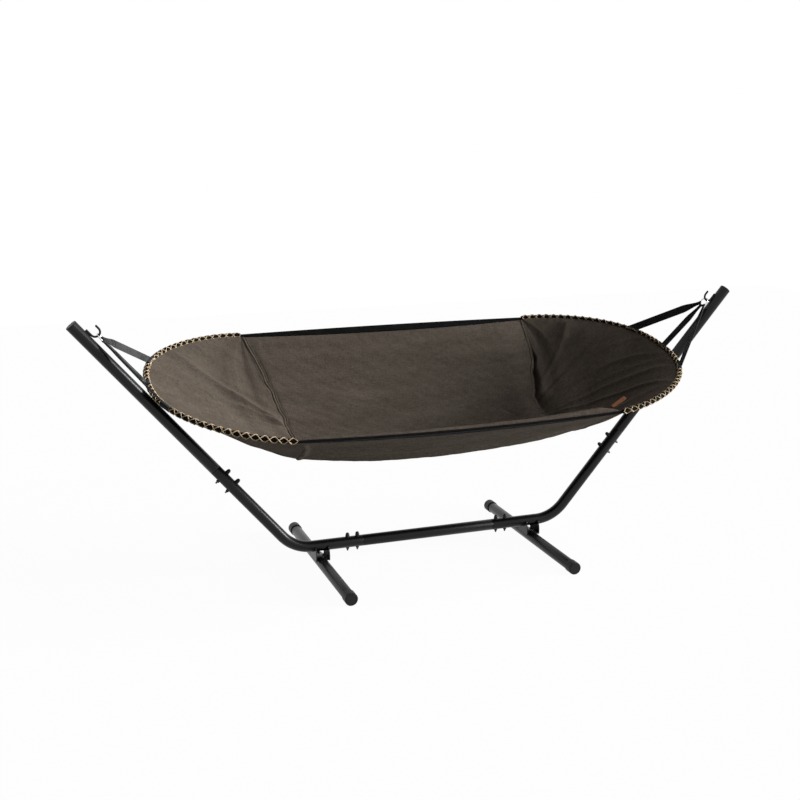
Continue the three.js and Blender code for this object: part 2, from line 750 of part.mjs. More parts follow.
// Blank tag, sewn flat on the inside of the right end panel, near side of its middle. It
// follows the panel's facets, each split from one corner to the corner ahead.
function addTag() {
  const { points, normals } = endPanelGrid("right", 1);
  const from = points[tagRow];
  const to = points[tagRow + 1];
  const rise = normals[tagRow][0].clone().multiplyScalar(-touchGap - tagThickness);
  const low = 0.5 - tagWidth / 2 / from[tagColumn].distanceTo(to[tagColumn]);
  const edges = [];
  for (let i = tagColumn; i <= tagColumn + tagColumns; i++) {
    edges.push([low, 1 - low].map((share) => from[i].clone().lerp(to[i], share).add(rise)));
    if (i === tagColumn + tagColumns) break;
    edges.push([low, 1 - low].map((share) => from[i].clone().lerp(to[i + 1], share).add(rise)));
  }
  const tagNormals = edges.map((pair) => pair.map(() => normals[tagRow][0]));
  addPiece(sling, "tag", outward(sheet(edges, tagNormals, tagThickness)), leather());
}

// Hoop: a sleeved round bow, with a short square end towards each edge webbing
function addHoop(name, side) {
  const line = hoopLine[name];
  const square = (p) => p.clone().setX(p.x - side * hoopStub);
  const stations = [square(line[0]), ...line, square(line[hoopSteps])];
  const bar = barAlong(through(stations), stations.length - 1, hoopRadius, hoopSides);
  addPiece(sling, `${name}_hoop`, outward(bar), blackWebbing());
}

// Edge webbing: a folded strip whose channel holds the cloth's edge, from hoop to hoop. It is
// deepest half way, and narrows to the hoops.
function addEdgeWebbing(name, way) {
  const hold = clothThickness / 2 + webbingRoom;
  const wide = hold + webbingThickness;
  const top = webbingThickness + touchGap;
  const rings = [];
  for (let i = 0; i <= middleColumns; i++) {
    const t = -1 + (2 * i) / middleColumns;
    const low = -webbingEndDepth - (webbingDepth - webbingEndDepth) * (1 - t * t);
    const profile = [[-wide, top], [-wide, low], [-hold, low], [-hold, touchGap],
      [hold, touchGap], [hold, low], [wide, low], [wide, top]];
    const edge = crossCurve(t, way < 0 ? 0 : 1);
    const next = crossCurve(t, way < 0 ? 1 / clothRows : 1 - 1 / clothRows);
    const upward = edge.clone().sub(next).setX(0).normalize();
    const outside = V(0, way * upward.z, -way * upward.y);
    const middle = edge.clone().addScaledVector(outside, clothThickness / 2);
    const ring = profile.map(([across, rise]) => {
      return middle.clone().addScaledVector(outside, across).addScaledVector(upward, rise);
    });
    rings.push(ring);
  }
  // The section is a channel: its ends are a floor between two walls.
  const fill = [[0, 1, 2], [0, 2, 3], [0, 3, 7], [3, 4, 7], [4, 5, 6], [4, 6, 7]];
  addPiece(sling, `${name}_edge_webbing`, outward(skin(rings, fill)), blackWebbing());
}

// Where a strap meets its hoop: the point at the hoop's axis, the hoop's direction there, the
// direction from it towards the strap, and half the length that the oblique strap covers.
function strapSeat(name, side, order) {
  const root = ringPoint(side, order * strapTurn, ringRadius + ringWire + touchGap + strapThickness / 2);
  const { at, along } = onHoop(name, 0.5 + (order * strapSpacing) / hoopLength);
  const radial = root.clone().sub(at);
  radial.addScaledVector(along, -radial.dot(along)).normalize();
  const lap = hoopRadius + touchGap + strapThickness / 2;
  const foot = at.clone().addScaledVector(radial, lap);
  const ahead = foot.clone().sub(root).normalize();
  const half = strapWidth / 2 / Math.sqrt(1 - ahead.dot(along) ** 2);
  return { root, at, along, radial, foot, ahead, half };
}

// Strap: gathered round the ring, flat and straight to the hoop, and lapped round the hoop
function addStrap(name, side, place, order) {
  const turn = order * strapTurn;
  const spread = strapRootWidth / ringRadius / 2;
  const wireRoom = (ringWire + touchGap) / Math.cos(Math.PI / wireSides);
  const sleeve = ringTube(side, wireRoom + strapThickness, turn - spread, turn + spread, gatherSteps);
  const room = ringTube(side, wireRoom, turn - 2 * spread, turn + 2 * spread, 2 * gatherSteps);

  const { root, at, along, radial, foot, ahead, half } = strapSeat(name, side, order);
  const wide = along.clone().addScaledVector(ahead, -ahead.dot(along)).normalize();
  const thick = ahead.clone().cross(wide);
  const section = (centre, across) => {
    const depth = strapThickness / 2;
    return [[-1, -depth], [1, -depth], [1, depth], [-1, depth]].map(([a, b]) => {
      return centre.clone().addScaledVector(across, a).addScaledVector(thick, b);
    });
  };
  const flat = skin([
    section(root, wide.clone().multiplyScalar(strapRootWidth / 2)),
    section(root.clone().addScaledVector(ahead, strapFlare), wide.clone().multiplyScalar(strapWidth / 2)),
    section(foot.clone().addScaledVector(ahead, strapThickness), along.clone().multiplyScalar(half)),
  ]);

  const other = along.clone().cross(radial);
  const wraps = [];
  for (let i = 0; i <= lapSteps; i++) {
    const a = strapWrap * (-1 + (2 * i) / lapSteps);
    const way = radial.clone().multiplyScalar(Math.cos(a)).addScaledVector(other, Math.sin(a));
    const inner = hoopRadius;
    const outer = hoopRadius + touchGap + strapThickness;
    wraps.push([[inner, -half], [inner, half], [outer, half], [outer, -half]].map(([r, l]) => {
      return at.clone().addScaledVector(way, r).addScaledVector(along, l);
    }));
  }
  const hoopRoom = barAlong(through(hoopLine[name]), hoopSteps, hoopRadius + touchGap, hoopSides);
  const strap = cut(joined(sleeve, flat, skin(wraps)), room, hoopRoom);
  addPiece(sling, `${name}_${place}_strap`, strap, blackWebbing());
}

// Lacing: one cord wound round the hoop. Where a strap laps the hoop it runs straight along the
// inner side, and between the straps it makes whole loops.
function laceLine(name, side) {
  const middle = hoopLength / 2;
  const bare = [-1, 0, 1].map((order) => strapSeat(name, side, order).half);
  const runs = [
    [laceEnd, middle - strapSpacing - bare[0], loopsOutside],
    [middle - strapSpacing + bare[0], middle - bare[1], loopsBetweenStraps],
    [middle + bare[1], middle + strapSpacing - bare[2], loopsBetweenStraps],
    [middle + strapSpacing + bare[2], hoopLength - laceEnd, loopsOutside],
  ];
  const points = [];
  for (const [from, to, loops] of runs) {
    const steps = loops * laceSteps;
    for (let i = 0; i <= steps; i++) {
      const { at, along, out } = onHoop(name, (from + ((to - from) * i) / steps) / hoopLength);
      const upright = V(0, 0, 1).addScaledVector(along, -along.z).normalize();
      const a = Math.PI + (2 * Math.PI * i) / laceSteps;
      const p = at.clone();
      p.addScaledVector(out, laceReach * Math.cos(a)).addScaledVector(upright, laceReach * Math.sin(a));
      points.push({ p, at });
    }
  }
  return points;
}
function addLacing(name, side) {
  const line = laceLine(name, side);
  const rings = line.map(({ p, at }, i) => {
    const before = line[Math.max(i - 1, 0)].p;
    const after = line[Math.min(i + 1, line.length - 1)].p;
    const along = after.clone().sub(before).normalize();
    const off = p.clone().sub(at);
    off.addScaledVector(along, -off.dot(along)).normalize();
    const other = along.clone().cross(off).multiplyScalar(side);
    return circle(laceRadius, laceSides).map(({ x, y }) => {
      return p.clone().addScaledVector(off, x).addScaledVector(other, y);
    });
  });
  addPiece(sling, `${name}_lacing`, outward(skin(rings)), beigeCord());
  reportGap(`${name}_lacing`, line.map(({ p }) => p));
}
// Prints the least gap of a wound cord to itself, over points at least most of a loop apart.
function reportGap(name, line) {
  let least = Infinity;
  for (let i = 0; i < line.length; i++) {
    for (let j = i + laceSteps - 2; j < line.length; j++) {
      least = Math.min(least, line[i].distanceTo(line[j]));
    }
  }
  console.log(`${name}: least gap to itself ${(least - 2 * laceRadius).toFixed(1)} mm`);
}

// Ring: its plane holds the arm's direction and Y, and its top wire lies in the hook's bend
function ringPoint(side, turn, radius) {
  const hang = hookBar + touchGap + ringWire; // from the bar's axis up to the wire's axis
  const centre = V(side * hookX, 0, 0).addScaledVector(armUp(side), hang - ringRadius);
  return centre.addScaledVector(armUp(side), -radius * Math.cos(turn)).setY(radius * Math.sin(turn));
}
function ringTube(side, wire, from, to, steps) {
  const stations = [];
  for (let i = 0; i <= steps; i++) {
    stations.push(ringPoint(side, from + ((to - from) * i) / steps, ringRadius));
  }
  return barAlong(through(stations), steps, wire, wireSides);
}
function addRing(name, side) {
  const ring = new THREE.TorusGeometry(ringRadius, ringWire, wireSides, ringSteps);
  const centre = ringPoint(side, 0, 0);
  const lie = new THREE.Matrix4().makeBasis(armUp(side), V(0, 1, 0), armIn(side));
  ring.applyMatrix4(lie.setPosition(centre));
  addPiece(sling, `${name}_ring`, outward(ring), brightSteel());
}

addBaseTube();
for (const [name, side] of sides) {
  addCornerTube(name, side);
  addArm(name, side);
  addHook(name, side);
  addJointBolts(name, side);
  addFoot(name, side);
  addBracket(name, side);
  addFootBolts(name, side);
  addRing(name, side);
  addHoop(name, side);
  addLacing(name, side);
  addEndPanel(name, side);
  addStrap(name, side, "near", -1);
  addStrap(name, side, "middle", 0);
  addStrap(name, side, "far", 1);
}
addCentrePanel();
addEdgeWebbing("near", -1);
addEdgeWebbing("far", 1);
addTag();

// The sling hangs from the hook line, and the origin is the middle of the whole on the ground.
sling.position.z = hookZ;
sling.rotation.x = swingAngle;
hammock.updateMatrixWorld(true);
const extent = new THREE.Box3().setFromObject(hammock, true);
hammock.position.y = -(extent.min.y + extent.max.y) / 2;

export default hammock;
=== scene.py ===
import bpy
import bmesh
import json
import math
import numpy as np
from mathutils import Matrix, Vector


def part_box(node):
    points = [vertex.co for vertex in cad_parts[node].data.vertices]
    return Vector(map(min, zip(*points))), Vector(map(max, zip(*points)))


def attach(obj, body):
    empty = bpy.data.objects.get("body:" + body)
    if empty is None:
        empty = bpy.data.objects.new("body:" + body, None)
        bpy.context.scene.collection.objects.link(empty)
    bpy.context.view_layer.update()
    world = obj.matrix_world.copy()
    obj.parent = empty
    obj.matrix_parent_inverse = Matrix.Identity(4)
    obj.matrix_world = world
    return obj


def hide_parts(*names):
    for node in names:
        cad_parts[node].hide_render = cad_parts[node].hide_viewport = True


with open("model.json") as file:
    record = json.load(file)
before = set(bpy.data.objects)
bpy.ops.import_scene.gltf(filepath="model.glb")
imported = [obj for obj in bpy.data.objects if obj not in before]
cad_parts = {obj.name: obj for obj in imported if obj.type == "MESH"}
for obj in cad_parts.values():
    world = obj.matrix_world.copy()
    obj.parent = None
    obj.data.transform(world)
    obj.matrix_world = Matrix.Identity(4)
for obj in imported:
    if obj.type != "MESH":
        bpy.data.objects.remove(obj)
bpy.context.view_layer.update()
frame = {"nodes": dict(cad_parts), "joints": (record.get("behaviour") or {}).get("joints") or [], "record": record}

# All shapes are worked out in millimetres and set down in metres. The stand's points start at its
# middle plane. The sling's start at the line through the hooks, as if it hung level.
mm = 0.001
sides = [("left", -1), ("right", 1)]
edges = [("near", -1), ("far", 1)]
hookLine = np.array(frame["joints"][0]["pos_m"]) / mm
standY = hookLine[1]
swing = math.radians(13.4)  # the far side hangs this much up
along = np.array([0.0, 1.0, 0.0])


def unit(v):
    return v / np.maximum(np.linalg.norm(v, axis=-1, keepdims=True), 1e-9)


def hump(x, at, wide):
    return np.exp(-((x - at) / wide) ** 2)


def shutAtEnds(s, power):
    # 1 half way and 0 where s is 0 or 1
    return 1 - np.abs(2 * s - 1) ** power


def fullTurn(count):
    return 2 * math.pi * np.arange(count) / count


def arcAlong(points):
    return np.concatenate([[0], np.cumsum(np.linalg.norm(np.diff(points, axis=0), axis=1))])


def trace(at, run, points):
    return np.stack([np.interp(at, run, points[:, k]) for k in range(3)], axis=-1)


def inStand(points):
    return (points + [0, standY, 0]) * mm


def inSling(points):
    c, s = math.cos(swing), math.sin(swing)
    x, y, z = points[..., 0], points[..., 1], points[..., 2]
    return (np.stack([x, y * c - z * s, y * s + z * c], axis=-1) + hookLine) * mm


camera = {
    "place": (-1.842, -4.822, 1.952),  # the second number is from the stand's middle plane
    "yaw": 19.49, "pitch": 13.38, "roll": -0.05, "lens": 53.34,
}


def addCamera():
    eye = bpy.data.objects.new("camera", bpy.data.cameras.new("camera"))
    eye.data.sensor_width = 36
    eye.data.lens = camera["lens"]
    eye.data.clip_end = 60
    x, y, z = camera["place"]
    turn = Matrix.Rotation(math.radians(-camera["yaw"]), 4, "Z")
    tilt = Matrix.Rotation(math.radians(90 - camera["pitch"]), 4, "X")
    roll = Matrix.Rotation(math.radians(camera["roll"]), 4, "Z")
    eye.matrix_world = Matrix.Translation((x, y + standY * mm, z)) @ turn @ tilt @ roll
    bpy.context.scene.collection.objects.link(eye)
    bpy.context.scene.camera = eye


addCamera()
print("camera placed")


# Finishes: noises and a pattern are mixed for the colour, the roughness and the relief
def put(tree, kind, inputs=None, **settings):
    made = tree.nodes.new(kind)
    for key, value in settings.items():
        setattr(made, key, value)
    for key, value in (inputs or {}).items():
        if isinstance(value, bpy.types.NodeSocket):
            tree.links.new(value, made.inputs[key])
        else:
            made.inputs[key].default_value = value
    return made


def sums(tree, operation, *values):
    return put(tree, "ShaderNodeMath", dict(enumerate(values)), operation=operation).outputs["Value"]


def noiseAt(tree, where, scale, detail, rough=0.55):
    if isinstance(scale, tuple):
        where = put(tree, "ShaderNodeMapping", {"Vector": where, "Scale": scale}).outputs["Vector"]
        scale = 1.0
    inputs = {"Vector": where, "Scale": scale, "Detail": detail, "Roughness": rough}
    return put(tree, "ShaderNodeTexNoise", inputs).outputs["Fac"]


def ramp(tree, factor, stops):
    made = put(tree, "ShaderNodeValToRGB", {"Fac": factor})
    made.color_ramp.elements[0].position = stops[0][0]
    made.color_ramp.elements[1].position = stops[-1][0]
    for place, colour in stops[1:-1]:
        made.color_ramp.elements.new(place)
    for element, (place, colour) in zip(made.color_ramp.elements, stops):
        element.color = (*colour, 1)
    return made.outputs["Color"]


def mixed(tree, parts, shares):
    total = 0.0
    for key, share in shares.items():
        total = sums(tree, "MULTIPLY_ADD", parts[key], share, total)
    return total


def newFinish(name, look):
    material = bpy.data.materials.new(name)
    material.use_nodes = True
    tree = material.node_tree
    shader = tree.nodes["Principled BSDF"]
    for key, value in look["sockets"].items():
        shader.inputs[key].default_value = value
    where = put(tree, "ShaderNodeTexCoord").outputs[look.get("place", "Object")]
    parts = {key: noiseAt(tree, where, *noise) for key, noise in look["noises"].items()}
    if "pattern" in look:
        parts["pattern"] = look["pattern"](tree, where)
    colour = ramp(tree, mixed(tree, parts, look["tone"]), look["stops"])
    tree.links.new(colour, shader.inputs["Base Color"])
    if "rough" in look:
        key, share, least = look["rough"]
        rough = sums(tree, "MULTIPLY_ADD", parts[key], share, least)
        tree.links.new(rough, shader.inputs["Roughness"])
    shares, strength, distance = look["relief"]
    height = {"Height": mixed(tree, parts, shares), "Strength": strength, "Distance": distance}
    tree.links.new(put(tree, "ShaderNodeBump", height).outputs["Normal"], shader.inputs["Normal"])
    return material


powder = {
    "noises": {"cloud": (9, 4), "dust": (240, 5, 0.7), "peel": (1100, 1)},
    "tone": {"cloud": 0.65, "dust": 0.35},
    "stops": [(0.35, (0.0035, 0.0035, 0.0038)), (0.7, (0.009, 0.009, 0.0094))],
    "rough": ("cloud", 0.12, 0.25),
    "relief": ({"peel": 1}, 0.05, 0.0002),
    "sockets": {"Roughness": 0.3, "Specular IOR Level": 0.24},
}
plastic = {
    "noises": {"cloud": (25, 3), "grain": (1600, 2)},
    "tone": {"cloud": 1},
    "stops": [(0.35, (0.006, 0.006, 0.0063)), (0.7, (0.014, 0.014, 0.0146))],
    "rough": ("grain", 0.15, 0.38),
    "relief": ({"grain": 1}, 0.2, 0.0002),
    "sockets": {"Roughness": 0.45, "Specular IOR Level": 0.22},
}
steel = {
    "noises": {"cloud": (160, 4, 0.65)},
    "tone": {"cloud": 1},
    "stops": [(0.3, (0.012, 0.012, 0.013)), (0.75, (0.045, 0.045, 0.047))],
    "rough": ("cloud", 0.25, 0.24),
    "relief": ({"cloud": 1}, 0.1, 0.0002),
    "sockets": {"Roughness": 0.34, "Metallic": 0.85},
}
bright = {
    "noises": {"cloud": (120, 4, 0.6), "scratch": ((2600, 300, 2600), 2)},
    "tone": {"cloud": 1},
    "stops": [(0.3, (0.42, 0.42, 0.43)), (0.7, (0.72, 0.72, 0.73))],
    "rough": ("scratch", 0.3, 0.12),
    "relief": ({"scratch": 1}, 0.05, 0.0001),
    "sockets": {"Roughness": 0.24, "Metallic": 1.0},
}
yarn = 0.0017  # from one yarn to the next


def weave(tree, where):
    split = put(tree, "ShaderNodeSeparateXYZ", {"Vector": where})
    waved = [sums(tree, "SINE", sums(tree, "MULTIPLY", split.outputs[axis], math.pi / yarn))
             for axis in ("X", "Y")]
    return sums(tree, "MULTIPLY", *waved)


# Canvas: heathered taupe yarns, warp along the sling and weft across it
canvas = {
    "place": "UV",
    "noises": {
        "warp": ((28, 0.55 / yarn, 1), 3, 0.6),
        "weft": ((0.55 / yarn, 28, 1), 3, 0.6),
        "mottle": (95, 5, 0.65),
        "stain": ((2.6, 11, 1), 4, 0.6),
    },
    "pattern": weave,
    "tone": {"weft": 0.3, "warp": 0.36, "mottle": 0.2, "stain": 0.22},
    "stops": [(0.33, (0.054, 0.0435, 0.034)), (0.47, (0.100, 0.081, 0.064)),
              (0.59, (0.159, 0.131, 0.106)), (0.75, (0.227, 0.193, 0.160))],
    "relief": ({"pattern": 0.5, "weft": 0.66, "warp": 0.792, "mottle": 0.8}, 0.55, 0.0006),
    "sockets": {
        "Roughness": 0.9, "Specular IOR Level": 0.04,
        "Sheen Weight": 0.04, "Sheen Roughness": 0.4, "Sheen Tint": (0.75, 0.68, 0.6, 1),
    },
}
rib = 0.0021  # from one rib of the tape to the next


def ribs(tree, where):
    split = put(tree, "ShaderNodeSeparateXYZ", {"Vector": where})
    slant = sums(tree, "MULTIPLY_ADD", split.outputs["Y"], 0.6, split.outputs["X"])
    return sums(tree, "SINE", sums(tree, "MULTIPLY", slant, 2 * math.pi / rib))


# Webbing: ribs across the tape, black on the bound edges; on the straps the tape is painted a lighter grey, a
# painted sheen for the light the nylon catches
tape = {
    "place": "UV",
    "noises": {"fibre": ((260, 1500, 1), 3, 0.6), "worn": (22, 4, 0.6)},
    "pattern": ribs,
    "tone": {"worn": 0.5, "fibre": 0.5},
    "stops": [(0.35, (0.003, 0.003, 0.0032)), (0.7, (0.014, 0.014, 0.0146))],
    "relief": ({"pattern": 0.5, "fibre": 1}, 0.6, 0.0005),
    "sockets": {"Roughness": 0.55, "Specular IOR Level": 0.02},
}
# lighter grey stops for the straps: a painted sheen that stands in for the light their nylon catches
sheenLightenedTape = {**tape, "stops": [(0.35, (0.045, 0.045, 0.047)), (0.7, (0.115, 0.115, 0.118))]}
sleeve = {
    "noises": {"fuzz": (900, 3, 0.65), "cloud": (30, 4)},
    "tone": {"cloud": 0.5, "fuzz": 0.5},
    "stops": [(0.35, (0.003, 0.003, 0.0031)), (0.7, (0.008, 0.0075, 0.007))],
    "relief": ({"fuzz": 1}, 0.4, 0.0006),
    "sockets": {"Roughness": 0.85, "Specular IOR Level": 0.08},
}
# Cord: beige yarns with darker grooves between them
cord = {
    "noises": {"fibre": (1400, 3, 0.6), "cloud": (60, 3)},
    "tone": {"cloud": 0.45, "fibre": 0.55},
    "stops": [(0.3, (0.24, 0.13, 0.05)), (0.42, (0.64, 0.46, 0.26)), (0.62, (0.90, 0.75, 0.54))],
    "relief": ({"fibre": 1}, 0.5, 0.0004),
    "sockets": {"Roughness": 0.75, "Specular IOR Level": 0.3},
}


def pores(tree, where):
    return put(tree, "ShaderNodeTexVoronoi", {"Vector": where, "Scale": 900.0}).outputs["Distance"]


hide = {
    "noises": {"cloud": (80, 5, 0.6)},
    "pattern": pores,
    "tone": {"cloud": 1},
    "stops": [(0.3, (0.36, 0.10, 0.026)), (0.7, (0.72, 0.27, 0.085))],
    "relief": ({"pattern": 1}, 0.4, 0.0004),
    "sockets": {"Roughness": 0.55, "Specular IOR Level": 0.4},
}
finishes = {
    "powder_coat": newFinish("powder_coat_black", powder),
    "black_plastic": newFinish("moulded_plastic_black", plastic),
    "black_steel": newFinish("blackened_steel", steel),
    "ring_steel": newFinish("bright_ring_steel", bright),
    "canvas": newFinish("heathered_canvas", canvas),
    "webbing": newFinish("ribbed_webbing_black", tape),
    "strap_webbing": newFinish("ribbed_webbing_painted_sheen", sheenLightenedTape),
    "hoop_sleeve": newFinish("hoop_sleeve_black", sleeve),
    "lacing_cord": newFinish("beige_lacing_cord", cord),
    "leather": newFinish("tag_leather", hide),
}
# The model's own nodes wear the same finishes
for part in frame["record"]["subparts"]:
    shown = frame["nodes"][part["node"]]
    shown.data.materials.clear()
    shown.data.materials.append(finishes[part["material_slot"]])
print("finishes mixed")


# Meshes
def gridFaces(rows, columns, closeRows=False, closeColumns=False):
    i = np.arange(rows if closeRows else rows - 1)[:, None]
    j = np.arange(columns if closeColumns else columns - 1)[None, :]
    nextI = (i + 1) % rows
    nextJ = (j + 1) % columns
    corners = [i * columns + j, i * columns + nextJ, nextI * columns + nextJ, nextI * columns + j]
    return np.stack(np.broadcast_arrays(*corners), axis=-1).reshape(-1, 4)


def gridUv(alongRows, alongColumns):
    # one pair for each face corner, in gridFaces' order
    pair = np.stack(np.meshgrid(alongRows, alongColumns, indexing="ij"), axis=-1)
    corners = [pair[:-1, :-1], pair[:-1, 1:], pair[1:, 1:], pair[1:, :-1]]
    return np.stack(corners, axis=2).reshape(-1, 2)


def newPiece(name, points, faces, slot, body, replaces=None, sharp=38, uv=None, finish=None):
    # a piece that is named for a node with _fine after it takes that node's place
    if name.endswith("_fine"):
        replaces = name.removesuffix("_fine")
    mesh = bpy.data.meshes.new(name)
    placed = inSling(points) if body == "sling" else inStand(points)
    mesh.from_pydata(placed.reshape(-1, 3).tolist(), [], [list(map(int, face)) for face in faces])
    if uv is not None:
        layer = mesh.uv_layers.new(name="along")
        layer.data.foreach_set("uv", np.asarray(uv, np.float32).ravel())
    work = bmesh.new()
    work.from_mesh(mesh)
    bmesh.ops.remove_doubles(work, verts=work.verts, dist=2e-6)
    bmesh.ops.recalc_face_normals(work, faces=work.faces)
    for edge in work.edges:
        edge.smooth = edge.calc_face_angle(0) < math.radians(sharp)
    for face in work.faces:
        face.smooth = True
    work.to_mesh(mesh)
    work.free()
    mesh.materials.append(finish or finishes[slot])
    piece = bpy.data.objects.new(name, mesh)
    bpy.context.scene.collection.objects.link(piece)
    if replaces:
        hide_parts(replaces)
    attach(piece, body)
    return piece


def skinPiece(name, skins, slot, body, closed=False, uv=None, **more):
    # a skin round each set of rings of points; open ends get a flat face
    points, faces, start = [], [], 0
    for rings in skins if isinstance(skins, list) else [skins]:
        count, around = rings.shape[:2]
        faces += (gridFaces(count, around, closed, True) + start).tolist()
        if not closed:
            last = start + (count - 1) * around
            faces += [list(range(first, first + around)) for first in (start, last)]
        points.append(rings.reshape(-1, 3))
        start += count * around
    if uv is not None and not closed:
        uv = np.concatenate([uv, np.zeros((2 * around, 2))])
    return newPiece(name, np.concatenate(points), faces, slot, body, uv=uv, **more)


def swept(base, first, second, x, y):
    # a section swept along a line of points, from two directions for each point
    return base[:, None] + first[:, None] * x[..., None] + second[:, None] * y[..., None]


def spunRound(centre, first, second, turn, radius):
    return swept(centre, first, second, radius * np.cos(turn), radius * np.sin(turn))


def lineOf(points, side):
    # a line that a tube or a cord follows, with two directions square to it
    points = np.asarray(points, float)
    length = arcAlong(points)
    ahead = unit(np.gradient(points, length, axis=0))
    side = np.broadcast_to(np.asarray(side, float), points.shape)
    across = unit(side - ahead * np.sum(side * ahead, axis=1, keepdims=True))
    third = np.cross(ahead, across)
    return {"length": length, "centre": points, "ahead": ahead, "across": across, "third": third}


def onLine(line, at, *keys):
    found = [trace(at, line["length"], line[key]) for key in keys]
    return found[0] if len(found) == 1 else found


def ringsAt(line, at, turn, radius):
    return spunRound(*onLine(line, at, "centre", "across", "third"), turn, radius)


def turnedRings(line, profile, around):
    profile = np.asarray(profile, float)
    return ringsAt(line, profile[:, 0], fullTurn(around), profile[:, 1:])


def quarter(fromA, toA, steps):
    return np.radians(np.linspace(fromA, toA, steps))


def roundEdge(end, outer, edge, steps):
    return [(end - edge + edge * math.sin(a), outer - edge + edge * math.cos(a))
            for a in quarter(0, 90, steps)]


# Stand tubes
tubes = {
    "radius": 25, "wall": 1.5, "rim": 0.8, "gap": 0.3, "around": 64,
    "cornerX": 632, "bend": 180, "rise": math.radians(49.7), "armLength": 1380,
    "baseSeam": 317, "armSeam": 523, "drawnIn": 125, "taper": 3, "rounding": 0.5,
}
tubeSeat = tubes["radius"] + tubes["gap"]  # what sits on a tube starts this far from its middle
baseZ = (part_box("base_tube")[0][2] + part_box("base_tube")[1][2]) / 2 / mm


def armUp(side):
    return np.array([side * math.cos(tubes["rise"]), 0, math.sin(tubes["rise"])])


def armIn(side):
    return np.array([-side * math.sin(tubes["rise"]), 0, math.cos(tubes["rise"])])


def byArm(side, at, off=0.0, y=0.0):
    return np.array([side * tubes["cornerX"], y, baseZ]) + at * armUp(side) + off * armIn(side)


def armLine(side):
    return lineOf([byArm(side, 0), byArm(side, 2000)], along)


def cornerLine(side):
    tangent = tubes["bend"] * math.tan(tubes["rise"] / 2)
    turn = np.linspace(0, tubes["rise"], 29)
    x = tubes["cornerX"] - tangent + tubes["bend"] * np.sin(turn)
    z = baseZ + tubes["bend"] * (1 - np.cos(turn))
    arc = np.stack([side * x, 0 * x, z], axis=-1)
    start = [side * tubes["baseSeam"], 0, baseZ]
    return lineOf(np.vstack([start, arc, byArm(side, tubes["armSeam"])]), along)


def rimmedTube(stations, rim):
    # a hollow tube's profile, out along its face and back along its bore, with rounded rims
    start, end, outer = stations[0], stations[-1], tubes["radius"]
    near = [(start + rim * (1 - math.sin(a)), outer - rim * (1 - math.cos(a))) for a in quarter(90, 0, 4)]
    far = [(end - rim * (1 - math.sin(a)), outer - rim * (1 - math.cos(a))) for a in quarter(0, 90, 4)]
    between = [(s, outer) for s in stations if start + 2 * rim < s < end - 2 * rim]
    return near + between + far + [(s, outer - tubes["wall"]) for s in stations[::-1]]


def drawnTube(start, end, bothEnds):
    # a straight tube whose first end, or both, is drawn in and runs on inside the next tube
    outer, taper, rounding = tubes["radius"], tubes["taper"], tubes["rounding"]
    slim = outer - tubes["wall"] - tubes["gap"]
    profile = [(start - tubes["drawnIn"], slim), (start, slim)]
    profile += [(start + taper - 1, outer - rounding), (start + taper, outer)]
    if bothEnds:
        profile += [(end - taper, outer), (end - taper + 1, outer - rounding)]
        profile += [(end, slim), (end + tubes["drawnIn"], slim)]
    else:
        profile.append((end, outer))
    bore = slim - tubes["wall"]
    return profile + [(profile[-1][0], bore), (profile[0][0], bore)]


def addTube(name, line, profile):
    rings = turnedRings(line, profile, tubes["around"])
    skinPiece(f"{name}_tube_fine", rings, "powder_coat", "stand", closed=True)


# Arm end caps: a plug, a collar as wide as the tube, and a slightly dished face
armCap = {"face": 5, "edge": 1.6, "plug": 22, "plugWall": 3, "dish": 0.9, "lip": 3.2}


def armCapProfile():
    end, outer, edge = tubes["armLength"], tubes["radius"], armCap["edge"]
    seat = end - armCap["face"]
    plug = outer - tubes["wall"] - tubes["gap"]
    bore = plug - armCap["plugWall"]
    tip = seat - armCap["plug"]
    profile = [(seat, 0), (seat, bore), (tip, bore), (tip, plug - 0.6), (tip + 2, plug), (seat, plug)]
    profile += [(seat, outer - 0.4), (seat + 0.4, outer)]
    profile += roundEdge(end, outer, edge, 6)
    rim = outer - edge - armCap["lip"]
    dish = armCap["dish"]
    profile += [(end, rim), (end - dish * 0.7, rim - 0.9), (end - dish, rim - 2.2)]
    return profile + [(end - dish + 0.35, rim / 2), (end - dish + 0.5, 0)]


baseLine = lineOf([[-1000, 0, baseZ], [1000, 0, baseZ]], along)
addTube("base", baseLine, drawnTube(1000 - tubes["baseSeam"], 1000 + tubes["baseSeam"], True))
for name, side in sides:
    corner = cornerLine(side)
    addTube(f"{name}_corner", corner, rimmedTube(corner["length"], tubes["rim"]))
    top = tubes["armLength"] - armCap["face"] - tubes["gap"]
    addTube(f"{name}_arm", armLine(side), drawnTube(tubes["armSeam"], top, False))
for name, side in sides:
    rings = turnedRings(armLine(side), armCapProfile(), tubes["around"])
    skinPiece(f"{name}_arm_cap_fine", rings, "black_plastic", "stand")
print("stand tubes drawn")


def weldBead(ends, side, weld):
    # a rippled bead with blunt ends
    line = lineOf(ends, side)
    whole = line["length"][-1]
    at = np.linspace(0, whole, weld["steps"])
    blunt = np.sqrt(np.clip(1 - (2 * at / whole - 1) ** weld["blunt"], 0, 1))
    wave = 1 + weld["ripple"] * np.cos(2 * math.pi * weld["ripples"] * at / whole)
    return turnedRings(line, np.stack([at, weld["radius"] * blunt * wave], axis=-1), 12)


# Hooks, bent round bar with a rounded free tip, and the weld beads that hold them
hook = {
    "bar": 4.5, "curve": 19.7, "centreAt": 1294, "innerLeg": 31, "freeLeg": 19, "around": 24,
    "weld": {"radius": 1.9, "ripple": 0.28, "ripples": 11, "steps": 56, "blunt": 6,
             "apart": 3.4, "up": 0.9},
}
hookMiddle = tubeSeat + hook["bar"] + hook["curve"]


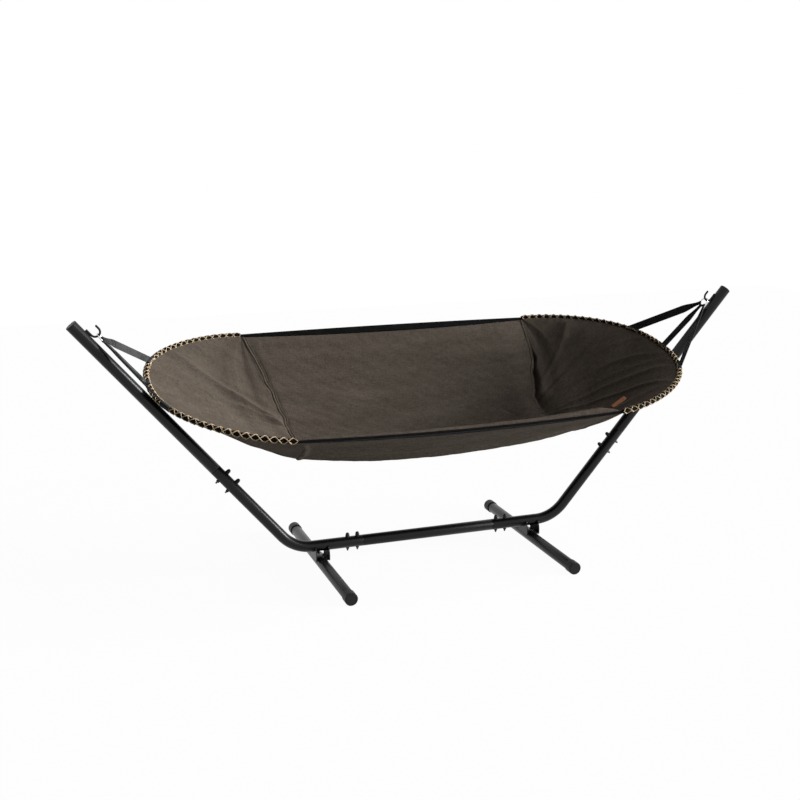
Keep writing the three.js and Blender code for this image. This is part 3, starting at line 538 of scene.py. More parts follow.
def hookLineOf(side):
    points = [byArm(side, hook["centreAt"] + hook["innerLeg"], tubeSeat + hook["bar"])]
    for a in np.linspace(math.pi, 2 * math.pi, 33):
        at = hook["centreAt"] + hook["curve"] * math.sin(a)
        points.append(byArm(side, at, hookMiddle + hook["curve"] * math.cos(a)))
    points.append(byArm(side, hook["centreAt"] + hook["freeLeg"], hookMiddle + hook["curve"]))
    return lineOf(points, along)


for name, side in sides:
    line = hookLineOf(side)
    end, bar = line["length"][-1] - hook["bar"], hook["bar"]
    profile = [(0, 0), (0, 0.55 * bar), (0.4, 0.85 * bar), (1.2, bar)]
    profile += [(s, bar) for s in line["length"][1:-1]]
    profile += [(end + bar * math.sin(a), bar * math.cos(a)) for a in quarter(0, 90, 7)]
    skinPiece(f"{name}_hook_fine", turnedRings(line, profile, hook["around"]), "powder_coat", "stand")
    weld = hook["weld"]
    beads = []
    for way in (-1, 1):
        stops = (hook["centreAt"] + 1, hook["centreAt"] + hook["innerLeg"] - 1)
        ends = [byArm(side, at, tubes["radius"] + weld["up"], way * weld["apart"]) for at in stops]
        beads.append(weldBead(ends, along, weld))
    skinPiece(f"{name}_hook_welds", beads, "powder_coat", "stand", sharp=60)
print("hooks bent and welded")

# Joint bolts: a bullet-nosed knob saddled to the tube, and a flanged nut on the other side
bolts = {
    "baseAt": [340, 386], "armAt": [414, 475], "shank": 4, "threadDepth": 0.32, "pitch": 1.25,
    "knob": 9.3, "knobFoot": 9.8, "knobHeight": 19, "knobSkirt": 4, "across": 13, "nutHeight": 6.5,
    "end": 8.5, "around": 40, "nutAround": 48, "threadAround": 24, "threadSteps": 48,
}


def saddleRing(line, radius, tube, around):
    # a ring that lies on the tube, whose own direction is the line's "across"
    angle = fullTurn(around)[:, None]
    high = np.sqrt(tube ** 2 - (radius * np.sin(angle)) ** 2)
    start, ahead, across, third = (line[key][0] for key in ("centre", "ahead", "across", "third"))
    return start + high * ahead + radius * (np.cos(angle) * across + np.sin(angle) * third)


def hexagon(around, half):
    fold = (fullTurn(around) + math.pi / 6) % (math.pi / 3) - math.pi / 6
    return half / np.cos(fold)


def addKnob(name, line):
    around, foot, knob = bolts["around"], bolts["knobFoot"], bolts["knob"]
    radius = tubes["radius"]
    rings = [saddleRing(line, r, radius - 0.1, around) for r in (0, foot - 0.5)]
    rings.append(saddleRing(line, foot, radius + 0.5, around))
    profile = [(1.0, foot), (1.8, foot - 0.2), (2.3, knob - 0.5), (2.7, knob - 0.5), (3.1, knob)]
    skirt, rise = bolts["knobSkirt"], bolts["knobHeight"] - bolts["knobSkirt"]
    profile += [(skirt + rise * math.sin(a), knob * math.cos(a) ** 0.72) for a in quarter(0, 90, 15)]
    rings += list(turnedRings(line, np.array(profile) + [tubeSeat, 0], around))
    skinPiece(f"{name}_knob", np.stack(rings), "black_plastic", "stand", replaces=f"{name}_knob_bolt")


def addNut(name, line):
    around, half, top = bolts["nutAround"], bolts["across"] / 2, bolts["nutHeight"]
    flange = [(0, -0.1), (half + 1.2, -0.1), (half + 1.6, 0.9), (half + 0.8, 1.6)]
    rings = [saddleRing(line, r, tubes["radius"] + up, around) for r, up in flange]
    # six flats, and a round top face
    flats = hexagon(around, half)
    reach = np.array([flats, flats, flats * 0 + half - 0.3, flats * 0])
    at = tubeSeat + np.array([1.9, top - 1.1, top, top])
    rings += list(ringsAt(line, at, fullTurn(around), reach))
    skinPiece(f"{name}_nut_fine", np.stack(rings), "black_steel", "stand", sharp=24)


def addThread(name, line):
    start = tubeSeat + bolts["nutHeight"] - 1
    end = tubeSeat + bolts["nutHeight"] + bolts["end"]
    at = np.linspace(start, end, bolts["threadSteps"])
    turn = fullTurn(bolts["threadAround"])
    turns = at[:, None] / bolts["pitch"] - turn / (2 * math.pi)
    ridge = np.abs(2 * (turns % 1) - 1)
    radius = bolts["shank"] - bolts["threadDepth"] * (1 - ridge)
    radius *= np.clip(0.72 + (end - at) / 3.2, 0, 1)[:, None]
    skinPiece(f"{name}_thread", ringsAt(line, at, turn, radius), "black_steel", "stand", sharp=50)


for name, side in sides:
    spots = [("base", number, np.array([side * x, 0, baseZ]), np.array([0, 0, 1]), [1, 0, 0])
             for number, x in enumerate(bolts["baseAt"], 1)]
    spots += [("arm", number, byArm(side, at), armIn(side), armUp(side))
              for number, at in enumerate(bolts["armAt"], 1)]
    for place, number, at, up, tubeAhead in spots:
        title = f"{name}_{place}_{number}"
        downLine = lineOf([at, at - 200 * up], tubeAhead)
        addKnob(title, lineOf([at, at + 200 * up], tubeAhead))
        addNut(title, downLine)
        addThread(title, downLine)
print("knobs and nuts turned")

# Feet: cross tubes and their sleeve caps, which stand on a moulded flat
feet = {
    "x": 513, "halfLength": 470, "capRadius": 28.2, "capLength": 45, "capFace": 3.5, "edge": 3.2,
    "flat": 12, "groove": 21.5, "grooveDepth": 0.7, "play": 0.15, "rim": 0.6,
}
footZ = math.sqrt(feet["capRadius"] ** 2 - (feet["flat"] / 2) ** 2)


def footCapProfile():
    end, outer = feet["halfLength"], feet["capRadius"]
    bore, mouth, face = tubes["radius"] + feet["play"], end - feet["capLength"], end - feet["capFace"]
    profile = [(face, 0), (face, bore), (mouth, bore), (mouth, outer - 0.9), (mouth + 0.9, outer)]
    profile += roundEdge(end, outer, feet["edge"], 8)
    groove, deep = feet["groove"], end - feet["grooveDepth"]
    profile += [(end, groove + 1), (deep, groove + 0.4), (deep, groove - 0.4), (end, groove - 1)]
    return profile + [(end, 0)]


for name, side in sides:
    centre = np.array([side * feet["x"], 0, footZ])
    reach = feet["halfLength"] - feet["capFace"] - tubes["gap"]
    line = lineOf([centre - 1000 * along, centre + 1000 * along], [1, 0, 0])
    addTube(f"{name}_foot", line, rimmedTube(np.array([1000 - reach, 1000, 1000 + reach]), feet["rim"]))
    for place, way in edges:
        line = lineOf([centre, centre + 1000 * way * along], [1, 0, 0])
        rings = turnedRings(line, footCapProfile(), tubes["around"])
        rings[..., 2] = np.maximum(rings[..., 2], 0)
        skinPiece(f"{name}_foot_{place}_cap_fine", rings, "black_plastic", "stand")
print("feet capped")

# Cradle brackets: two cut plates with eased edges, a saddle between them, and fillet welds
bracket = {
    "plate": 4, "spacing": 60, "halfWidth": 53, "footWidth": 46, "low": 14, "earTop": 3, "ear": 7.5,
    "earRound": 2.5, "saddle": 4, "play": 0.15, "saddleFrom": math.radians(38), "ease": 0.9, "boltY": 34,
    "weld": {"radius": 2.0, "ripple": 0.22, "ripples": 30, "steps": 120, "blunt": 10,
             "in": 0.4, "up": 0.6},
}


def easedPlate(outline, xMiddle):
    # a flat outline in Y and Z, thickened along X, with rounded edges
    half, ease = bracket["plate"] / 2, bracket["ease"]
    ahead = unit(np.roll(outline, -1, axis=0) - np.roll(outline, 1, axis=0))
    inward = np.stack([-ahead[:, 1], ahead[:, 0]], axis=-1)
    inward *= np.sign(np.sum((outline.mean(axis=0) - outline) * inward))
    rings = []
    for x, drawn in ((-half, 0.8 * ease), (ease - half, 0), (half - ease, 0), (half, 0.8 * ease)):
        rings.append(np.column_stack([np.full(len(outline), xMiddle + x), outline + inward * drawn]))
    return np.stack(rings)


def plateOutline():
    low, top = footZ + bracket["low"], baseZ + bracket["earTop"]
    ear = tubeSeat + bracket["ear"]
    t = np.linspace(0, 1, 15)[:, None]
    start = np.array([bracket["footWidth"], low])
    pull = np.array([bracket["halfWidth"], baseZ - tubeSeat])
    right = (1 - t) ** 2 * start + 2 * t * (1 - t) * pull + t ** 2 * np.array([ear, top])
    turn = np.linspace(0, -math.pi, 33)
    arc = np.stack([tubeSeat * np.cos(turn), baseZ + tubeSeat * np.sin(turn)], axis=-1)
    tip = np.array([[ear - bracket["earRound"], top + 0.8], [tubeSeat + 1.2, top + 0.8]])
    foot = [[y, low] for y in np.linspace(2 - bracket["footWidth"], bracket["footWidth"] - 2, 12)]
    return np.vstack([foot, right, tip, arc, tip[::-1] * [-1, 1], right[::-1] * [-1, 1]])


def saddleRings(x):
    bore = tubes["radius"] + bracket["play"]
    outer, half, start = bore + bracket["saddle"], bracket["spacing"] / 2, bracket["saddleFrom"]
    turn = np.linspace(start, math.pi - start, 25)
    arc = np.stack([np.cos(turn), np.sin(turn)], axis=-1)
    high, low = outer * math.sin(start), bore * math.sin(start)
    wings = [[-half, high], [-half, low]], [[half, low], [half, high]]
    section = np.vstack([outer * arc, wings[0], bore * arc[::-1], wings[1]])
    radius = np.linalg.norm(section, axis=1, keepdims=True)
    inward = np.sign(bore + bracket["saddle"] / 2 - radius) / radius
    end, ease = bracket["footWidth"], bracket["ease"]
    rings = []
    for y, shrink in ((-end, 0.6), (ease - end, 0), (end - ease, 0), (end, 0.6)):
        drawn = section * (1 + shrink * inward)
        rings.append(np.column_stack([x + drawn[:, 0], np.full(len(drawn), y), footZ + drawn[:, 1]]))
    return np.stack(rings)


for name, side in sides:
    x, half, weld = side * feet["x"], bracket["spacing"] / 2, bracket["weld"]
    skins = [easedPlate(plateOutline(), x + way * half) for way in (-1, 1)] + [saddleRings(x)]
    skinPiece(f"{name}_foot_bracket_fine", skins, "powder_coat", "stand")
    up = footZ + (tubes["radius"] + bracket["saddle"]) * math.sin(bracket["saddleFrom"]) + weld["up"]
    reach = bracket["footWidth"] - 4
    beads = []
    for way in (-1, 1):
        weldX = x + way * (half - bracket["plate"] / 2 - weld["in"])
        beads.append(weldBead([[weldX, -reach, up], [weldX, reach, up]], [1, 0, 0], weld))
    skinPiece(f"{name}_bracket_welds", beads, "powder_coat", "stand", sharp=60)
print("brackets cut")

# Foot bolts: a button head with a hex recess on a washer
button = {
    "radius": 7, "crown": 2.9, "height": 4.6, "washer": 8.6, "washerThick": 1.2, "recess": 2.34,
    "deep": 2.6, "around": 36,
}


def footBoltRings(line):
    washer, thick, crown = button["washer"], button["washerThick"], button["crown"]
    profile = [(0, 0), (0, washer), (thick - 0.2, washer), (thick, washer - 0.3), (thick, button["radius"])]
    high, wide = button["height"], button["radius"] - crown
    profile += [(thick + high * math.sin(a), crown + wide * math.cos(a)) for a in quarter(8, 90, 8)]
    top = thick + high
    socket = hexagon(button["around"], button["recess"]) * np.array([[1], [1], [0]])
    at = np.array([top, top - button["deep"], top - button["deep"]])
    rings = turnedRings(line, profile, button["around"])
    return np.concatenate([rings, ringsAt(line, at, fullTurn(button["around"]), socket)])


for name, side in sides:
    for place, way in edges:
        up = footZ + tubeSeat + bracket["saddle"] - 0.5
        foot = np.array([side * feet["x"], way * bracket["boltY"], up])
        rings = footBoltRings(lineOf([foot, foot + [0, 0, 200]], [1, 0, 0]))
        skinPiece(f"{name}_foot_{place}_bolt_fine", rings, "black_steel", "stand", sharp=30)
print("foot bolts set")

# Rings: round wire bent to a circle, with its butt weld out of sight at the side
ring = {"radius": 21, "wire": 2.5, "hang": 7.3, "steps": 96, "around": 24}
hookX = byArm(1, hook["centreAt"] - hook["curve"], hookMiddle)[0]  # the hooks' low points


def ringPoint(side, turn, radius):
    turn = np.asarray(turn, float)[..., None]
    centre = np.array([side * hookX, 0, 0]) + armUp(side) * (ring["hang"] - ring["radius"])
    return centre - armUp(side) * radius * np.cos(turn) + along * radius * np.sin(turn)


def ringSkin(side, turn, around, wire):
    out = unit(ringPoint(side, turn, 1) - ringPoint(side, turn, 0))
    return spunRound(ringPoint(side, turn, ring["radius"]), out, armIn(side)[None], fullTurn(around), wire)


for name, side in sides:
    turn = fullTurn(ring["steps"])
    wire = ring["wire"] * (1 + 0.12 * hump(turn, 1.9, 0.09))[:, None]
    rings = ringSkin(side, turn, ring["around"], wire)
    skinPiece(f"{name}_ring_fine", rings, "ring_steel", "sling", closed=True)
print("rings closed")

# The sling's shape
shape = {
    "halfLace": 719, "tipX": 1226, "halfWidth": 533, "rimDrop": 271, "tipDrop": 230,
    "bowStart": 2.3, "powerX": 1.57, "powerY": 2.36, "hoop": 12.5, "nearSag": 17, "farSag": -5,
    "nearPull": (259, 253), "farPull": (760, 373), "fullness": 1.2, "seamDraw": 100, "seamWave": 3.0,
    # how much, where and how widely the seams differ from that
    "slack": (0.42, 0.28, 0.17), "curls": [(0.38, 0.70, 0.1), (-0.55, 0.93, 0.07), (-0.24, 0.48, 0.07)],
    "ripples": [(1, 11, 1), (0.6, 19, 2)],  # share, count along the seam, and phase
    "deeper": 10.5,  # the left half hangs this much lower than the right
    "deeperTo": (0.05, 0.16),  # it ends here, over this width
}


def hoopLine(side):
    bow = shape["halfLace"] + shape["bowStart"]
    angle = np.linspace(-math.pi / 2, math.pi / 2, 2881)
    inward = np.maximum(np.cos(angle), 0) ** (2 / shape["powerX"])
    across = np.sign(angle) * np.abs(np.sin(angle)) ** (2 / shape["powerY"])
    x = side * (bow + (shape["tipX"] - bow) * inward)
    z = -shape["rimDrop"] + (shape["rimDrop"] - shape["tipDrop"]) * inward
    fine = np.stack([x, shape["halfWidth"] * across, z], axis=-1)
    run = arcAlong(fine)
    line = lineOf(trace(np.linspace(0, run[-1], 801), run, fine), [0, 0, 1])
    out = unit(np.cross(line["ahead"], [0, 0, 1]))
    facing = np.sum(out * [side, 0, 0] + out * line["centre"] * [0, 1e-3, 0], axis=1, keepdims=True)
    return {**line, "out": out * np.sign(facing + 1e-9), "up": line["across"]}


hoops = {name: hoopLine(side) for name, side in sides}
hoopLength = hoops["right"]["length"][-1]


def bezier(s, a, b, c, d):
    return a * (1 - s) ** 3 + 3 * b * s * (1 - s) ** 2 + 3 * c * s ** 2 * (1 - s) + d * s ** 3


def crossCurve(t, s):
    # the cloth from seam (t = -1) to seam (t = 1) and from near edge (s = 0) to far edge (s = 1)
    t, s = np.broadcast_arrays(np.asarray(t, float), np.asarray(s, float))
    full = 1 + (shape["fullness"] - 1) * (1 - t ** 2)
    half = shape["halfWidth"]
    y = bezier(s, -half, -half + shape["nearPull"][0] * full, half - shape["farPull"][0] * full, half)
    z = bezier(s, 0, -shape["nearPull"][1] * full, -shape["farPull"][1] * full, 0)
    sag = shape["nearSag"] * (1 - s) + shape["farSag"] * s
    z = z - shape["rimDrop"] - sag * (1 - t ** 2)
    stop, over = shape["deeperTo"]
    z = z - shape["deeper"] * (4 * s * (1 - s)) ** 2 / (1 + np.exp((t - stop) / over))
    # the seams are drawn in: the left one less near the front, the right one in soft curls
    slack, slackAt, slackWide = shape["slack"]
    bow = shape["seamDraw"] * np.abs(t) ** 3 * shutAtEnds(s, 3)
    bow = bow * (1 - slack * (t < 0) * hump(s, slackAt, slackWide))
    curl = sum(size * hump(s, at, wide) for size, at, wide in shape["curls"])
    wavy = sum(share * np.sin(2 * math.pi * count * s + phase) for share, count, phase in shape["ripples"])
    bow = bow * (1 + (t > 0) * curl) + shape["seamWave"] * wavy * np.abs(t) ** 10 * shutAtEnds(s, 6)
    return np.stack([t * shape["halfLace"] - np.sign(t) * bow, y, z], axis=-1)


def squareTo(step):
    # straight up out of the cloth, square to a step across it
    return unit(np.stack([0 * step[..., 0], -step[..., 2], step[..., 1]], axis=-1))


def waves(a, b, longest, shortest, count, lean, seed):
    # uneven ripples: waves of several lengths that run mostly across b
    pick = np.random.default_rng(seed)
    total = np.zeros(np.broadcast(a, b).shape)
    weight = 0
    for k in range(count):
        length = longest * (shortest / longest) ** (k / max(count - 1, 1))
        angle = pick.normal(0, lean)
        phase = pick.uniform(0, 2 * math.pi)
        run = (a * math.sin(angle) + b * math.cos(angle)) / length
        total += length / longest * np.sin(2 * math.pi * run + phase)
        weight += length / longest
    return total / weight


def surfaceNormals(grid):
    normal = unit(np.cross(np.gradient(grid, axis=0), np.gradient(grid, axis=1)))
    return normal if normal[..., 2].mean() < 0 else -normal


# Cloth: each panel has an inner and an outer face, joined all round the rim
panel = {"inside": 0.5, "thick": 2.0}


def clothPiece(name, grid, uRow, vColumn, slot="canvas", inside=panel["inside"],
               thick=panel["thick"], **more):
    rows, columns = grid.shape[:2]
    count = rows * columns
    normal = surfaceNormals(grid)
    layers = np.stack([grid + normal * inside, grid + normal * (inside + thick)])
    faces = gridFaces(rows, columns)
    uv = gridUv(uRow, vColumn)
    place = np.arange(count).reshape(rows, columns)
    edge = np.concatenate([place[:, 0], place[-1, 1:], place[-2::-1, -1], place[0, -2:0:-1]])
    nextEdge = np.roll(edge, -1)
    rim = np.stack([edge, nextEdge, nextEdge + count, edge + count], axis=-1)
    flat = np.stack(np.meshgrid(uRow, vColumn, indexing="ij"), axis=-1).reshape(-1, 2)
    uvRim = np.stack([flat[edge], flat[nextEdge], flat[nextEdge], flat[edge]], axis=1).reshape(-1, 2)
    uvUnder = uv.reshape(-1, 4, 2)[:, ::-1].reshape(-1, 2)
    return newPiece(name, layers, np.concatenate([faces, faces[:, ::-1] + count, rim]), slot, "sling",
                    uv=np.concatenate([uv, uvUnder, uvRim]), sharp=50, **more)


bed = {
    "rows": 261, "columns": 181, "across": 1250, "long": 7.0, "pucker": 1.2, "edgePucker": 0.5,
    "seamReach": 55, "edgeReach": 45, "calm": 60, "seamDip": 8.0, "dipWide": 24, "dipEdge": 4,
    "crease": {"deep": 4, "wide": 7, "t": 0.67, "reach": 0.055, "s": 0.705, "slope": 0.55, "from": 0.66},
}
# Soft swells and hollows: where along and across, how much they stand up, how far they reach
swells = [
    (0.82, 0.72, 13, 0.13, 0.20),
    (0.30, 0.84, 7, 0.32, 0.040),
    (-0.15, 0.73, 9, 0.35, 0.038),
    (0.12, 0.65, -9, 0.42, 0.05),
    (-0.45, 0.82, 7, 0.25, 0.040),
    (0.45, 0.92, 5, 0.30, 0.03),
    (-0.60, 0.62, 8, 0.20, 0.05),
    (0.55, 0.58, -8, 0.16, 0.05),
]


def middleSurface(t, s):
    grid = crossCurve(t, s)
    across, x = s * bed["across"], t * shape["halfLace"]
    fromEdge = np.minimum(s, 1 - s) * bed["across"]
    seamNear = np.exp(-((1 - np.abs(t)) * shape["halfLace"] / bed["seamReach"]) ** 1.3)
    edgeNear = np.exp(-(fromEdge / bed["edgeReach"]) ** 1.3)
    clear = (1 - hump(fromEdge, 0, bed["calm"])) * (1 - t ** 8)
    long = waves(x, across, 260, 70, 7, 0.16, 5) * (0.55 + 0.45 * waves(across, x, 900, 420, 3, 0.4, 8))
    fine = waves(x, across, 60, 24, 6, 0.35, 11) * 0.35
    dip = clear * bed["long"] * (long + fine)
    dip = dip + seamNear * bed["pucker"] * waves(x, across, 62, 26, 5, 0.12, 21) * (1 - edgeNear)
    dip = dip + edgeNear * (1 - edgeNear) * 4 * bed["edgePucker"] * waves(across, x, 80, 36, 5, 0.12, 31)
    # under the left seam's flap the cloth dips in a narrow groove
    beside = x + shape["halfLace"]
    groove = bed["seamDip"] * (1 - np.exp(-beside / bed["dipEdge"])) * hump(beside, 0, bed["dipWide"])
    dip = dip + groove * (1 - edgeNear)
    for place, over, rise, reach, wide in swells:
        dip = dip - rise * hump(t, place, reach) * hump(s, over, wide)
    # one short crease, pressed in toward the right
    crease = bed["crease"]
    line = crease["s"] - crease["slope"] * (t - crease["from"])
    pressed = crease["deep"] * hump(across, line * bed["across"], crease["wide"])
    dip = dip + pressed * hump(t, crease["t"], crease["reach"])
    return grid - squareTo(np.gradient(grid, axis=1)) * dip[..., None]


def addMiddlePanel():
    even = np.linspace(-1, 1, bed["rows"])[:, None]
    t = 0.9997 * (0.5 * even + 0.5 * np.sin(even * math.pi / 2))  # closer rows by the seams
    grid = middleSurface(t, np.linspace(0, 1, bed["columns"])[None, :])
    across = arcAlong(grid[bed["rows"] // 2]) * mm
    piece = clothPiece("centre_panel_cloth", grid, grid[:, bed["columns"] // 2, 0] * mm, across,
                       replaces="centre_panel")


ends = {
    "rows": 141, "columns": 261, "across": 1180, "reach": 520, "crease": 1.6, "pucker": 0.6,
    "seamPucker": 1.2, "inset": 9.6, "valley": 44.0, "valleyReach": 84, "ridge": 3.0,
    "valleyEdge": 7, "ridgeEdge": 9, "ridgeReach": 130, "rimReach": 40, "seamReach": 50, "laced": 37,
    "inner": (0.60, 0.03),  # the valley and the ridge begin here across the cloth, over this width
    "sag": {"left": 12, "right": 24}, "lift": {"left": -12, "right": 14},
    "bulge": 6.75 / 4, "foldDepth": 3, "foldCount": 3.5, "foldRoot": 0.2, "foldBehind": 0.25,
}
# The folds that fan out from the seams: where each lies on the cloth at the seam, half way and
# at the hoop, how much it stands up, and half its width at the hoop
folds = {
    "left": [
        (0.705, 0.725, 0.745, 18, 34),
        (0.70, 0.652, 0.59, 19, 26),
        (0.69, 0.60, 0.51, -12, 22),
        (0.68, 0.57, 0.44, 14, 28),
        (0.40, 0.35, 0.30, 6, 34),
        (0.33, 0.24, 0.18, -6, 30),
    ],
    "right": [
        (0.635, 0.51, 0.36, 12, 22),
        (0.635, 0.43, 0.25, 10, 20),
        (0.64, 0.56, 0.41, 6, 15),
        (0.66, 0.62, 0.45, 11, 22),
        (0.715, 0.724, 0.715, -12, 30),
        (0.69, 0.69, 0.58, 8, 16),
        (0.76, 0.80, 0.86, 8, 26),
        (0.36, 0.30, 0.24, 6, 34),
        (0.30, 0.20, 0.15, -6, 30),
    ],
}


def foldRise(name, s, u):
    total = np.zeros(np.broadcast(s, u).shape)
    for atSeam, halfWay, atHoop, rise, wide in folds[name]:
        line = atSeam * (1 - u) * (1 - 2 * u) + halfWay * 4 * u * (1 - u) + atHoop * u * (2 * u - 1)
        away = np.abs(s - line) * ends["across"] / (wide * (0.35 + 0.65 * u))
        total += rise * np.exp(-away ** 1.5)
    return total * (1 - np.exp(-u / 0.07)) * (1 - np.exp(-(1 - u) / 0.13))


def endCloth(name, side, s, u):
    # an end panel from its seam (u = 0) to the hoop (u = 1)
    seam = crossCurve(side, s)
    centre, out = onLine(hoops[name], s * hoopLength, "centre", "out")
    p = seam + (centre - out * ends["inset"] - seam) * u[..., None]
    across, reach, seed = s * ends["across"], u * ends["reach"], 50 + side
    # the right one hangs low beside the seam and swells up again toward the hoop
    free = 4 * u * (1 - u) * shutAtEnds(s, 4)
    bend = ends["lift"][name] * u - ends["sag"][name] * (1 - u)
    fan = np.arctan2(s - ends["foldRoot"], ends["foldBehind"] + u)
    fanned = np.cos(2 * math.pi * ends["foldCount"] * fan)
    rise = ends["bulge"] * free * bend - free * ends["foldDepth"] * fanned
    # creases that fan out from the root of the folds, sharper than the folds themselves
    creases = waves(reach * 0.12, fan * ends["reach"], 120, 34, 6, 0.05, seed + 3)
    sharp = np.sign(creases) * np.abs(creases) ** 0.8
    rise = rise - free * ends["crease"] * sharp * (0.35 + 0.65 * np.clip(u * 1.4, 0, 1))
    rimNear = np.exp(-((ends["reach"] - reach) / ends["rimReach"]) ** 1.3)
    seamNear = np.exp(-(reach / ends["seamReach"]) ** 1.3)
    shut = shutAtEnds(s, 8)
    laced = np.sin(2 * math.pi * s * hoopLength / ends["laced"])
    rise = rise - rimNear * (1 - rimNear) * 4 * ends["pucker"] * laced * shut
    rise = rise - seamNear * ends["seamPucker"] * waves(reach, across, 58, 24, 5, 0.12, seed + 9) * shut
    p[..., 2] += rise + foldRise(name, s, u) * shut
    start, over = ends["inner"]
    inner = shut / (1 + np.exp(-(s - start) / over))
    if side > 0:
        # under the right seam's flap the cloth drops, and then climbs again to the end
        wide = ends["valleyReach"] * (1 + 0.2 * waves(reach * 0, across, 210, 80, 3, 0.02, 77))
        slope = 0.5 + 0.5 * np.cos(math.pi * np.minimum(reach / wide, 1))
        sink = ends["valley"] * (1 - np.exp(-reach / ends["valleyEdge"])) * slope * inner
    else:
        # beside the left seam it stands up in a low ridge
        rise = ends["ridge"] * (1 - np.exp(-reach / ends["ridgeEdge"]))
        sink = -rise * hump(reach, 0, ends["ridgeReach"]) * inner
    step = crossCurve(side, s + 0.002) - crossCurve(side, s - 0.002)
    return p - squareTo(step) * sink[..., None]


def addEndPanel(name, side):
    s = np.linspace(0.003, 0.997, ends["columns"])[None, :]
    u = np.linspace(0, 1, ends["rows"])[:, None] ** 1.3
    s, u = np.broadcast_arrays(s, u)
    grid = endCloth(name, side, s, u)
    column = arcAlong(crossCurve(side, s[0])) * mm
    row = arcAlong(grid[:, ends["columns"] // 2]) * mm
    piece = clothPiece(f"{name}_end_cloth", grid, side * (shape["halfLace"] * mm + row), column,
                       replaces=f"{name}_end_panel")


addMiddlePanel()
for name, side in sides:
    addEndPanel(name, side)


def stitches(name, line, lift, slot, look):
    # short arched stitches along a line of points
    run = arcAlong(line)
    length, thread = look["stitch"], look["thread"]
    count = int(run[-1] / (length + look["gap"]))
    arch = np.linspace(-0.5, 0.5, 6)
    bent = (thread * (1.1 - 2.2 * (2 * arch) ** 4))[:, None]
    skins = []
    for middleAt in (np.arange(count) + 0.5) * run[-1] / count:
        centre = trace(middleAt + arch * length, run, line)
        up = unit(trace(middleAt, run, lift))[None]
        side = np.cross(unit(centre[-1:] - centre[:1]), up)
        skins.append(spunRound(centre + up * bent, up, side, fullTurn(6), thread))
    skinPiece(name, skins, slot, "sling", sharp=70)


# Cross seams: a folded flap, proud of the cloth on the inside, with two rows of stitches
seams = {
    "width": {"left": 17, "right": 13}, "tilt": {"left": -0.16, "right": -0.3}, "sunk": 1.6,
    "thick": 4.2, "dent": 2.0, "rows": {"inner": 0.25, "outer": 0.78}, "steps": 321, "sway": 0.12,
    "stitch": 4.2, "gap": 1.9, "thread": 0.42,
}


def seamSection(wide):
    half = seams["thick"] / 2
    section = [(wide - half + half * math.cos(a), half + half * math.sin(a)) for a in quarter(-90, 90, 7)]
    for share in (0.84, 0.74, 0.66, 0.58, 0.5, 0.42, 0.34, 0.26, 0.16):
        section.append((wide * share, 2 * half - seams["dent"] * hump(share, 0.5, 0.14)))
    section += [(half * math.cos(a), half + half * math.sin(a)) for a in quarter(90, 270, 7)]
    return np.array(section + [(wide * share, 0) for share in (0.2, 0.5, 0.8)])


def addSeam(name, side):
    s = np.linspace(0.006, 0.994, seams["steps"])
    line = crossCurve(side, s)
    step = np.gradient(line, axis=0)
    inward = squareTo(step)
    across = unit(np.cross(unit(step), inward))
    across *= np.sign(across[:, 0].mean())
    run = arcAlong(line)
    sway = seams["sway"] * waves(run * 0, run, 150, 42, 5, 0.02, 70 + side)
    tilt = seams["tilt"][name] + sway * shutAtEnds(s, 6)
    c, d = np.cos(tilt)[:, None], np.sin(tilt)[:, None]
    x, up = seamSection(seams["width"][name]).T
    rings = swept(line, across, inward, x * c - up * d, x * d + up * c - seams["sunk"])
    middle = rings[seams["steps"] // 2]
    around = arcAlong(np.vstack([middle, middle[:1]])) * mm
    skinPiece(f"{name}_cross_seam", rings, "canvas", "sling", uv=gridUv(run * mm, around), sharp=60)
    lift = inward * c - across * d
    for row, share in seams["rows"].items():
        reach = seams["width"][name] * share
        place = line + reach * (across * c + inward * d) + lift * (seams["thick"] + 0.05)
        place = place - inward * (seams["sunk"] + 0.1)
        stitches(f"{name}_seam_stitches_{row}", place, lift, "canvas", seams)


for name, side in sides:
    addSeam(name, side)
print("cross seams sewn")

# Hoops: a padded sleeve round the bow, drawn in under each turn of the lacing
padding = {
    "radius": 9.4, "around": 40, "steps": 1100, "pinch": 0.9, "reach": 3.0, "mouth": 6, "rumple": 0.35,
    "puff": 0.4,
}
lacing = {
    "radius": 1.95, "end": 3, "pitch": 37.5, "sink": 0.9, "over": 1.5, "stepLength": 2.6,
    "around": 9, "lobes": 3, "lobeDepth": 0.12, "twist": 13.0, "apart": 0.2, "under": 1.6, "inside": 0.7,
    "clear": 2,  # the turns stop this far from a strap
    "starts": [("first", 1, 0), ("second", -1, 0), ("third", 1, math.pi), ("fourth", -1, math.pi)],
    "lean": math.radians(27),  # the crossings lie this much above the hoop's middle at its near side
}
strap = {
    "width": 38, "thick": 2.2, "root": 15, "flare": 90, "turn": math.radians(48), "spacing": 225,
    "wrap": math.radians(112), "pleat": 2.6, "columns": 33, "places": {"near": -1, "middle": 0, "far": 1},
    "footGap": 0.7, "lapGap": 0.5, "boxes": {"ring": (62, 92), "hoop": (58, 30)},
    "stitch": 4.4, "gap": 2.0, "thread": 0.5,
}


def strapSeat(name, side, order):
    clear = ring["radius"] + ring["wire"] + tubes["gap"] + strap["thick"] / 2
    root = ringPoint(side, order * strap["turn"], clear)
    where = hoopLength / 2 + order * strap["spacing"]
    at, go = onLine(hoops[name], where, "centre", "ahead")
    go = unit(go)
    radial = root - at
    radial = unit(radial - go * np.dot(radial, go))
    foot = at + radial * (padding["radius"] + strap["footGap"] + strap["thick"] / 2)
    ahead = unit(foot - root)
    half = strap["width"] / 2 / math.sqrt(1 - np.dot(ahead, go) ** 2)
    return {"root": root, "where": where, "at": at, "go": go, "radial": radial, "foot": foot,
            "ahead": ahead, "half": half}


